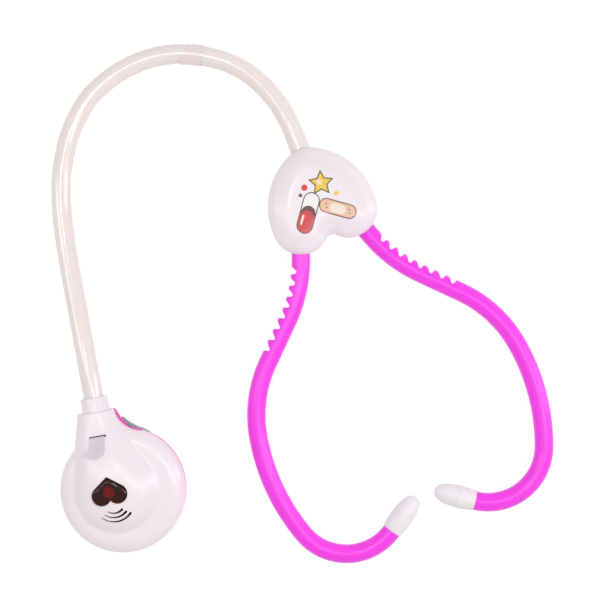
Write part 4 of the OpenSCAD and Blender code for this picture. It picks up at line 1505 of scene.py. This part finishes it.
    def shell_rings(
        self, height: Callable[[float, float], float], scoop_r: float, up: float
    ) -> list[list[Vector]]:
        """Rings of a closed shell, from the middle of its face, round its rim and back inside.

        Args:
            height: Height of the outer face at a point.
            scoop_r: Radius of the shell's scoop.
            up: 1 for the upper shell, -1 for the lower one.

        Returns:
            The rings.
        """
        ways = self.directions()
        reach = [self.outline_reach(a, scoop_r) for a in ways]
        within = [min(far, self.outline_reach(a, self.scoop_r)) - self.wall for a, far in zip(ways, reach)]
        edge = self.split + up * self.rim_rise

        def outer(a: float, far: float, share: float) -> Vector:
            """Point of the outer face, with the edge rounded where the wall below it is tall.

            Args:
                a: Direction from the dome's centre in degrees.
                far: Distance of the rim that way.
                share: Share of that distance.

            Returns:
                The point.
            """
            spot = polar(self.dome, far * share, a)
            rim = polar(self.dome, far * self.rim_share, a)
            tall = abs(height(rim.x, rim.y) - self.split) - self.shoulder_edge
            bend = min(self.edge_round, max(0.0, tall * self.edge_share))
            near = far * (1 - share)
            drop = bend - math.sqrt(max(0.0, bend**2 - (bend - near) ** 2)) if near < bend else 0.0
            level = height(spot.x, spot.y) if share < 1 else height(rim.x, rim.y)
            return Vector((spot.x, spot.y, level - up * drop))

        def inner(a: float, far: float, share: float) -> Vector:
            """Point of the inner face.

            Args:
                a: Direction from the dome's centre in degrees.
                far: Distance of the rim that way.
                share: Share of that distance.

            Returns:
                The point.
            """
            spot = polar(self.dome, far * share, a)
            level = height(spot.x, spot.y) - up * self.wall
            return Vector((spot.x, spot.y, level if up * (level - self.split) > self.rim_rise else edge))

        def flat(reaches: list[float], inset: float, z: float) -> list[Vector]:
            """Ring at one height, drawn in from the reaches."""
            return [Vector((*polar(self.dome, far - inset, a), z)) for a, far in zip(ways, reaches)]

        rings = []
        for i in range(self.face_rings):
            share = math.sin(math.pi / 2 * (i + 1) / self.face_rings)
            rings.append([outer(a, far, share) for a, far in zip(ways, reach)])
        rim = self.split + up * self.rim_gap
        rings += [flat(reach, 0.0, edge), flat(reach, self.rim_bevel, rim), flat(within, 0.0, rim)]
        for i in range(self.inner_rings, 0, -1):
            share = math.sin(math.pi / 2 * i / self.inner_rings)
            rings.append([inner(a, far, share) for a, far in zip(ways, within)])
        return rings

    def collar_half(self, piece: MeshPiece, up: float) -> None:
        """Adds half of the stepped collar that holds the hose.

        Args:
            piece: Shell that gets the half.
            up: 1 for the upper half, -1 for the lower one.
        """
        start, end = self.neck_end - self.collar_root, self.collar_end
        rim = self.split + up * self.rim_gap
        profile = [(self.hose_r, start), (self.collar_r, start)]
        profile += [(self.collar_r - inset, end - drop) for inset, drop in self.collar_edge]
        profile += [(self.hose_r + self.collar_mouth, end), (self.hose_r, end - self.collar_mouth)]
        verts = [piece.mesh.verts.new((self.neck_x + r, y, rim)) for r, y in profile]
        face = piece.mesh.faces.new(verts)
        bmesh.ops.spin(
            piece.mesh,
            geom=[face],
            cent=(self.neck_x, 0, rim),
            axis=(0, -up, 0),
            angle=math.pi,
            steps=self.collar_steps,
            use_duplicate=False,
        )

    def hose_bore(self) -> MeshPiece:
        """Room for the hose in the neck's end wall.

        Returns:
            The cutter.
        """
        bore = MeshPiece("chest_hose_bore")
        bore.rod(self.hose_r, 0, self.bore_len, along_y(self.neck_x, self.seat_end, self.split))
        return bore

    def lens_outline(self, grow: float) -> list[Vector]:
        """Outline of the heart lens, with its point towards the neck.

        Args:
            grow: How far the outline is let out.

        Returns:
            Points in the chest piece's plane.
        """
        radius = self.lens_lobe_r + grow
        lobe = self.lens_lobe
        away = Vector((lobe.x, self.lens_point - lobe.y))
        lean = math.asin(self.lens_lobe_r / away.length) + math.atan2(away.x, away.y)
        tip = Vector((0, self.lens_point + grow / math.sin(lean)))
        start = -180 + math.degrees(math.acos(min(1.0, lobe.x / radius)))
        half = [*arc(lobe, radius, start, math.degrees(lean), 40), polar(lobe, radius, math.degrees(lean))]
        other = [Vector((-p.x, p.y)) for p in reversed(half)]
        return [p + self.lens_at for p in [*half, tip, *other[:-1]]]

    def sound_slot(self, radius: float, half: float) -> MeshPiece:
        """Cutter for one round-ended sound slot, which grows wider towards its right end.

        Args:
            radius: Radius of the slot's arc.
            half: Half of its angle in degrees.

        Returns:
            The cutter.
        """
        slot = MeshPiece("sound_slot")
        thin, thick = self.slot_w[0] / 2, self.slot_w[1] / 2
        outer, inner = [], []
        for i in range(1, self.slot_steps):
            wide = thin + (thick - thin) * i / self.slot_steps
            angle = half * (2 * i / self.slot_steps - 1) - 90
            outer.append(polar(self.slot_at, radius + wide, angle))
            inner.append(polar(self.slot_at, radius - wide, angle))
        right = arc(polar(self.slot_at, radius, -90 + half), thick, -90 + half, 90 + half, 8)
        left = arc(polar(self.slot_at, radius, -90 - half), thin, 90 - half, 270 - half, 8)
        slot.prism([*outer, *right, *reversed(inner), *left], self.cut_low, self.cut_top)
        return slot

    def build_upper(self) -> Object:
        """Upper shell with the dome, the neck and half of the collar.

        Returns:
            The shell.
        """
        shell = MeshPiece("chest_upper")
        shell.loft(self.shell_rings(self.upper_height, self.scoop_r, 1))
        piece = shell.make(self.sharp)
        window = MeshPiece("lens_window")
        window.prism(self.lens_outline(self.lens_gap), self.cut_low, self.cut_top)
        slit = MeshPiece("tab_slit")
        across = self.about(self.neck_x, self.slit_half[0])
        along = self.about(self.slit_y, self.slit_half[1])
        slit.block(across, along, (self.slit_low, self.cut_top))
        slots = [self.sound_slot(*slot) for slot in self.slots]
        carve(piece, [window, slit, self.hose_bore(), *slots], self.sharp)
        collar = MeshPiece("upper_collar")
        self.collar_half(collar, 1)
        join(piece, collar.make(self.fine_sharp))
        return self.settle(piece)

    @staticmethod
    def about(middle: float, half: float) -> tuple[float, float]:
        """Two ends that lie as far from a middle."""
        return (middle - half, middle + half)

    def build_lower(self) -> Object:
        """Lower shell with its screw wells, the battery bay's mouth and the button's window.

        Returns:
            The shell.
        """
        shell = MeshPiece("chest_lower")
        shell.loft(self.shell_rings(self.lower_height, self.scoop_r - self.ledge, -1))
        piece = shell.make(self.sharp)
        cuts = MeshPiece("lower_cuts")
        self.seat.sink(cuts, self.screws)
        gap = self.cover_gap
        recess = MeshPiece("cover_recess")
        across = self.about(self.cover_x, self.cover_half + gap)
        along = (self.cover_y[0] - gap, self.cover_y[1] + gap)
        recess.block(across, along, (-self.cut_past, self.cover_t + gap))
        mouth = MeshPiece("cover_mouth")
        across = self.about(self.cover_x, self.cover_half - self.mouth_inset)
        mouth.block(across, self.cover_mouth, (-self.cut_past, self.mouth_top))
        gap = self.button_gap
        window = MeshPiece("button_window")
        tall = (self.button_z[0] - gap, self.button_z[1] + gap)
        window.block(self.about(0, self.button_half + gap), self.window_y, tall)
        window.place(self.button_place)
        carve(piece, [cuts, recess, mouth, window, self.hose_bore()], self.sharp)
        inner = MeshPiece("chest_lower_bosses")
        self.seat.build_up(inner, self.screws, self.split)
        self.collar_half(inner, -1)
        join(piece, inner.make(self.fine_sharp))
        return self.settle(piece)

    def settle(self, piece: Object) -> Object:
        """Moves a piece from the chest piece's own frame to its place.

        Args:
            piece: Piece in the chest piece's own frame.

        Returns:
            The same piece.
        """
        shift = self.placing.copy()
        shift.translation *= MM
        piece.data.transform(shift)
        return piece

    def build_lens(self) -> Object:
        """Heart lens with a rounded top edge and the flange that holds it.

        Returns:
            The lens.
        """
        lens = MeshPiece("lens_glass")
        levels = [(0.0, self.lens_seat - self.lens_root)]
        for angle in range(0, 91, 10):
            turn = math.radians(angle)
            drop = self.lens_drop * (1 - math.sin(turn))
            levels.append((-self.lens_round * (1 - math.cos(turn)), self.lens_top - drop))
        lens.loft([[Vector((p.x, p.y, z)) for p in self.lens_outline(grow)] for grow, z in levels])
        grow, thick = self.lens_flange
        lens.prism(self.lens_outline(grow), self.lens_seat - thick, self.lens_seat)
        lens.place(self.placing)
        return lens.make()

    def build_shroud(self) -> Object:
        """Black cup under the lens, open round the lamp.

        Returns:
            The cup.
        """
        shroud = MeshPiece("lens_shroud")
        low, high = [self.lens_seat - drop for drop in self.shroud_drop]
        shroud.prism(self.lens_outline(self.shroud_grow), low, high)
        piece = shroud.make()
        hole = MeshPiece("lamp_hole")
        hole.rod(self.lamp_hole, 0, self.cut_top, Matrix.Translation((*self.lamp_at, 0)))
        carve(piece, [hole])
        return self.settle(piece)

    def build_button(self) -> Object:
        """Side button with a dished face, soft edges, its flange and its stem.

        Returns:
            The button.
        """
        button = MeshPiece("button_cap")
        half = self.button_half
        front = self.button_front
        dish = Vector((self.dish_x, front - self.dish_deep + self.dish_r))
        spread = math.degrees(math.acos((self.dish_r - self.dish_deep) / self.dish_r))
        face = arc(dish, self.dish_r, -90 - spread, -90 + spread, 18)
        face.append(polar(dish, self.dish_r, -90 + spread))
        outline = [Vector((-half, self.button_back)), Vector((-half, front)), *face]
        end, side = self.button_bevel
        outline += [Vector((half - end, front)), Vector((half, front - side))]
        outline.append(Vector((half, self.button_back)))
        button.prism(outline, *self.button_z)
        bmesh.ops.bevel(
            button.mesh,
            geom=button.mesh.edges[:],
            offset=self.button_soft,
            offset_type="OFFSET",
            segments=3,
            profile=0.5,
            affect="EDGES",
            material=-1,
            clamp_overlap=True,
        )
        back, ahead = self.flange
        button.block((self.flange_start, half + self.flange_past), self.flange, self.button_z)
        inset, sink = self.core_inset
        tall = (self.button_z[0] + sink, self.button_z[1] - sink)
        button.block((self.flange_start, half - inset), (ahead - inset, self.core_front), tall)
        stem = along_y(0, self.stem_end, self.press_z)
        button.rod(self.stem_r, 0, back - self.stem_end, stem, self.stem_steps)
        button.place(self.placing @ self.button_place)
        return button.make()

    def tab_row(self, share: float) -> tuple[float, float, float, float]:
        """Edges and place of the pull tab at a share of its run.

        Args:
            share: 0 at the strip's lower end, 1 at the flap's end.

        Returns:
            Left edge, right edge, place along the neck, and height.
        """
        half = self.tab_w / 2
        fold = self.split + self.crest(self.slit_y) + self.tab_lift
        upright = self.tab_upright
        if share < upright:
            return (-half, half, self.slit_y, self.tab_low + (fold - self.tab_low) * share / upright)
        reach = (share - upright) / (1 - upright)
        y = self.slit_y - self.flap_len * reach
        z = self.split + self.crest(y) + self.tab_lift
        for (low, left, right), (high, next_left, next_right) in zip(self.flap_edges, self.flap_edges[1:]):
            if reach <= high:
                break
        part = (reach - low) / (high - low)
        left += (next_left - left) * part
        right += (next_right - right) * part
        return (left - half, right + half, y, z)

    def build_tab(self) -> Object:
        """Pull tab: a strip through the slit, folded over the neck into a round-ended flap.

        Returns:
            The tab.
        """
        tab = MeshPiece("tab_film")
        across, along = self.tab_grid
        # The grid is a unit square about the origin, so each vertex gives its shares across and along
        bmesh.ops.create_grid(tab.mesh, x_segments=across, y_segments=along, size=0.5)
        for vert in tab.mesh.verts:
            left, right, y, z = self.tab_row(vert.co.y + 0.5)
            side = vert.co.x + 0.5
            vert.co = Vector((self.neck_x + left + (right - left) * side, y, z))
        bmesh.ops.solidify(tab.mesh, geom=tab.mesh.faces[:], thickness=self.tab_t)
        tab.place(self.placing)
        return tab.make(self.fine_sharp)

    def dress(self, dresser: Dresser) -> None:
        """Builds the pieces and finishes them.

        Args:
            dresser: Hand that finishes pieces and ties them to the model.
        """
        dresser.set_up(self.build_upper(), "pearl_plastic", Body.HOUSING, "shell_white", "chest_upper_shell")
        dresser.set_up(self.build_lower(), "pink_plastic", Body.HOUSING, "shell_pink", "chest_lower_shell")
        dresser.set_up(self.build_lens(), "red_glass", Body.HOUSING, "lens_red", "heart_lens")
        dresser.set_up(self.build_shroud(), "black_shroud", Body.HOUSING, "cone_black")
        dresser.set_up(self.build_button(), "grey_button", Body.SIDE_BUTTON, "button_grey", "side_button")
        dresser.set_up(self.build_tab(), "milky_film", Body.PULL_TAB, "tab_milky", "pull_tab")


@dataclass
class Hose:
    """The hose from the chest piece to the hub, with the tape wrapped on it."""

    chest: ChestPiece
    hub: HeartHub
    radius: float = 4.8
    lead: float = 8.0
    mouth: float = 29.1
    route: tuple[tuple[float, float, float], ...] = (
        (-130.5, -28, 10.5), (-128, -12, 8.5), (-126, 2, 6.8), (-124, 14.5, 5.7), (-122, 26, 5),
        (-120, 35, 4.7), (-118, 43, 4.6), (-115.5, 50.5, 4.6), (-112.5, 58, 4.6), (-108.5, 65, 4.6),
        (-104.5, 71.5, 4.6), (-99.5, 77.5, 4.6), (-94, 83, 4.6), (-87.5, 88, 4.6), (-80, 91.5, 4.6),
        (-72.5, 94, 4.6), (-64.5, 95.5, 4.6), (-56.5, 96, 4.6), (-49, 95.5, 4.6), (-42, 94, 4.6),
        (-36, 92, 4.6), (-30, 89, 4.6), (-23.5, 85, 4.7), (-17.5, 80.5, 4.8), (-12, 74.5, 5),
        (-7.5, 67.5, 5.4), (-4, 59.5, 6), (-1.5, 51.5, 6.6), (-0.5, 44, 6.9))
    measure_steps: int = 600
    smoothness: int = 8
    tape_from: float = 23.0
    tape_to: float = 24.15
    tape_gap: float = 0.05
    tape_t: float = 0.3
    tape_sides: int = 48
    tape_rings: int = 12
    tape_slant: float = 0.45
    tape_tooth: float = 0.05
    tape_look: float = 0.05
    tooth_fade: int = 6

    @property
    def points(self) -> list[Vector]:
        """Points of the route, with the straight ends in the two seats.

        Returns:
            The points, from the chest piece to the hub.
        """
        chest = self.chest
        seats = [chest.seat_end, chest.collar_end, chest.collar_end + self.lead]
        start = [chest.placing @ Vector((chest.neck_x, y, chest.split)) for y in seats]
        stops = (self.mouth + self.lead, self.mouth, self.hub.hose_stop)
        end = [Vector((0, y, self.hub.parting)) for y in stops]
        return [*start, *[Vector(p) for p in self.route], *end]

    def spot(self, place: float) -> Vector:
        """Point on the smooth line, by its place among the route's points.

        Args:
            place: Place among the points, where 1 is the second one.

        Returns:
            The point.
        """
        points = self.points
        first = min(len(points) - 3, max(1, int(place)))
        t = place - first
        weights = ((1 - t) ** 3, 3 * t**3 - 6 * t**2 + 4, -3 * t**3 + 3 * t**2 + 3 * t + 1, t**3)
        parts = [w / 6 * points[first - 1 + i] for i, w in enumerate(weights)]
        return parts[0] + parts[1] + parts[2] + parts[3]

    @property
    def length(self) -> float:
        """Length of the hose's line.

        Returns:
            The length in millimetres.
        """
        last = len(self.points) - 2
        count = self.measure_steps
        steps = [self.spot(1 + i * (last - 1) / count) for i in range(count + 1)]
        ends = (steps[0] - self.points[0]).length + (self.points[-1] - steps[-1]).length
        return ends + sum((b - a).length for a, b in zip(steps, steps[1:]))

    def build_hose(self) -> Object:
        """Hose as a round curve along its route.

        Returns:
            The hose.
        """
        line = bpy.data.curves.new("hose_tube", "CURVE")
        line.dimensions = "3D"
        line.bevel_depth = self.radius * MM
        line.bevel_resolution = self.smoothness
        line.resolution_u = self.smoothness
        line.use_fill_caps = True
        points = self.points
        spline = line.splines.new("NURBS")
        spline.points.add(len(points) - 1)
        for knot, point in zip(spline.points, points):
            knot.co = (*(point * MM), 1)
        spline.order_u = 4
        spline.use_endpoint_u = True
        piece = bpy.data.objects.new("hose_tube", line)
        bpy.context.scene.collection.objects.link(piece)
        return piece

    def tape_ring(self, place: float, radius: float, slant: float, tooth: float) -> list[Vector]:
        """Ring round the hose whose place shifts round it, for a slanted or toothed edge.

        Args:
            place: Place among the route's points.
            radius: Radius of the ring.
            slant: Shift of the place from the inner to the outer side of the bend.
            tooth: Depth of the edge's teeth, as a share of a step.

        Returns:
            Points round the hose.
        """
        points = []
        for i in range(self.tape_sides):
            turn = math.tau * i / self.tape_sides
            saw = tooth * (abs((i % 4) - 2) - 1)
            at = place + slant * math.cos(turn) + saw
            middle = self.spot(at)
            ahead = (self.spot(at + self.tape_look) - self.spot(at - self.tape_look)).normalized()
            out = Vector((-ahead.y, ahead.x, 0)).normalized()
            up = ahead.cross(out)
            points.append(middle + radius * (math.cos(turn) * out - math.sin(turn) * up))
        return points

    def build_tape(self) -> Object:
        """Tape wrapped on the hose, with one slanted, toothed edge.

        Returns:
            The tape.
        """
        low = self.radius + self.tape_gap
        high = low + self.tape_t
        span = self.tape_to - self.tape_from
        rings = []
        shares = [i / self.tape_rings for i in range(self.tape_rings + 1)]
        for radius, order in ((high, shares), (low, shares[::-1])):
            for share in order:
                slant = self.tape_slant * (1 - share)
                tooth = self.tape_tooth * (1 - share) ** self.tooth_fade
                rings.append(self.tape_ring(self.tape_from + span * share, radius, slant, tooth))
        tape = MeshPiece("tape_wrap")
        tape.loft(rings, closed=True)
        return tape.make(40)

    def dress(self, dresser: Dresser) -> None:
        """Args:
            dresser: Hand that finishes pieces and ties them to the model.
        """
        hose = dresser.set_up(self.build_hose(), "milky_hose", Body.HOUSING, "hose_milky", "hose")
        tape = dresser.set_up(self.build_tape(), "milky_tape", Body.HOUSING, "tape_milky", "tape_band")
        self.length * MM


@dataclass
class Innards:
    """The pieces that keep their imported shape: screws, electronics, cells and the battery cover."""

    nodes: dict[str, Object]
    wear: dict[str, str] = field(default_factory=lambda: {
        "hub_screws": "screw_steel", "case_screws": "screw_steel", "battery_cover_screw": "screw_steel",
        "lamp": "red_lamp", "lamp_holder": "white_holder", "switch_plunger": "white_holder",
        "speaker_frame": "speaker_grey", "speaker_cone": "cone_paper", "speaker_magnet": "magnet_grey",
        "circuit_board": "board_green", "chip_blob": "black_resin", "switch_body": "black_resin",
        "button_cells": "cell_steel", "battery_contact_plus": "contact_brass",
        "battery_contact_minus": "contact_brass", "battery_cover": "pink_plastic"})

    def dress(self, dresser: Dresser) -> None:
        """Gives each kept node its finish.

        Args:
            dresser: Hand that finishes pieces and ties them to the model.
        """
        for name, finish in self.wear.items():
            dresser.finishes.give(self.nodes[name], finish)
            LOG.info("%s keeps its shape with %s", name, finish)


def background_rays(bench: NodeBench) -> NodeSocket:
    """Whether a ray shows the background itself: to the camera, in a reflection or through glass.

    Args:
        bench: Bench for the floor's or the world's tree.

    Returns:
        1 for such a ray, or else 0.
    """
    path = bench.add("ShaderNodeLightPath").outputs
    seen = bench.math("MAXIMUM", path["Is Camera Ray"], path["Is Glossy Ray"])
    return bench.math("MAXIMUM", seen, path["Is Transmission Ray"])


@dataclass(frozen=True)
class Softbox:
    """One soft lamp: its place from the picture's middle, its face in metres and its power in watts."""

    name: str
    place: tuple[float, float, float]
    face: tuple[float, float]
    power: float

    def hang(self, middle: Vector, turn: Matrix) -> None:
        """Hangs the lamp where it faces the middle.

        Args:
            middle: Point that the lamp faces.
            turn: Turn of the picture about the middle.
        """
        lamp = bpy.data.lights.new(self.name, "AREA")
        lamp.shape = "RECTANGLE"
        lamp.size, lamp.size_y = self.face
        lamp.energy = self.power
        holder = bpy.data.objects.new(self.name, lamp)
        place = middle + turn @ Vector(self.place)
        holder.location = place
        holder.rotation_euler = (middle - place).to_track_quat("-Z", "Y").to_euler()
        bpy.context.scene.collection.objects.link(holder)


@dataclass
class Studio:
    """Floor, lamps, surrounding light and the camera above the toy, in metres."""

    eye: Vector = field(default_factory=lambda: Vector((-0.0248, -0.0391, 0.75)))
    roll: float = -20.0
    lens: float = 92.3
    sensor: float = 36.0
    lamps: tuple[Softbox, ...] = (
        Softbox("left_strip", (-0.5, 0.05, 0.8), (0.12, 0.9), 1.3),
        Softbox("right_strip", (0.3, -0.05, 0.85), (0.08, 0.7), 1.5),
        Softbox("low_right", (0.85, 0.1, 0.4), (0.2, 0.8), 1.9),
        Softbox("overhead", (-0.115, 0.14, 0.9), (0.1, 0.1), 0.45),
    )
    glow: float = 0.57
    floor_glow: float = 0.8
    floor_bounce: float = 0.5
    floor_color: float = 0.32
    floor_tint: Color = (1, 0.86, 0.9, 1)
    floor_half: float = 4.0
    white: Color = (1, 1, 1, 1)

    def build_floor(self) -> Object:
        """Pale floor that stays white to the camera and keeps the toy's shadow.

        Returns:
            The floor.
        """
        ground = MeshPiece("studio_floor")
        bmesh.ops.create_grid(ground.mesh, x_segments=1, y_segments=1, size=self.floor_half / MM)
        floor = ground.make()
        material = bpy.data.materials.new("pale_floor")
        material.use_nodes = True
        bench = NodeBench(material.node_tree)
        bench.tree.nodes.remove(bench.tree.nodes["Principled BSDF"])
        paper = bench.add("ShaderNodeBsdfDiffuse", {"Color": (self.floor_color,) * 3 + (1,)})
        seen = background_rays(bench)
        strength = bench.math("MULTIPLY_ADD", seen, self.floor_glow - self.floor_bounce, self.floor_bounce)
        color = bench.mix(seen, self.floor_tint, self.white)
        light = bench.add("ShaderNodeEmission", {"Color": color, "Strength": strength})
        both = bench.add("ShaderNodeAddShader", {0: paper.outputs[0], 1: light.outputs[0]})
        bench.wire(bench.tree.nodes["Material Output"], {"Surface": both.outputs[0]})
        floor.data.materials.append(material)
        return floor

    def build_world(self) -> None:
        """Soft light from all round, white to the camera."""
        world = bpy.data.worlds.new("studio_air")
        world.use_nodes = True
        bench = NodeBench(world.node_tree)
        back = world.node_tree.nodes["Background"]
        strength = bench.math("MULTIPLY_ADD", background_rays(bench), 1 - self.glow, self.glow)
        bench.wire(back, {"Color": self.white, "Strength": strength})
        bpy.context.scene.world = world

    def build_lamps(self) -> None:
        """Hangs the lamps round the middle of the picture."""
        turn = Matrix.Rotation(math.radians(self.roll), 4, "Z")
        for lamp in self.lamps:
            lamp.hang(Vector((self.eye.x, self.eye.y, 0)), turn)

    def build_camera(self) -> None:
        """Camera straight above the toy."""
        view = bpy.data.cameras.new("photo_camera")
        view.sensor_width = self.sensor
        view.lens = self.lens
        camera = bpy.data.objects.new("photo_camera", view)
        camera.location = self.eye
        camera.rotation_euler = (0, 0, math.radians(self.roll))
        bpy.context.scene.collection.objects.link(camera)
        bpy.context.scene.camera = camera

    def set_up(self) -> None:
        """Builds the whole studio."""
        bpy.context.scene.view_settings.view_transform = "Standard"
        self.build_floor()
        self.build_world()
        self.build_lamps()
        self.build_camera()


def main() -> None:
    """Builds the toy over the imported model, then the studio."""
    logging.basicConfig(level=logging.INFO, format="%(message)s")
    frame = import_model()
    dresser = Dresser(Finishes(Effects()))
    hub = HeartHub()
    chest = ChestPiece()
    Hose(chest, hub).dress(dresser)
    hub.dress(dresser)
    for side in Side:
        EarArm(side).dress(dresser)
    chest.dress(dresser)
    Innards(frame["nodes"]).dress(dresser)
    Studio().set_up()


if __name__ == "__main__":
    main()
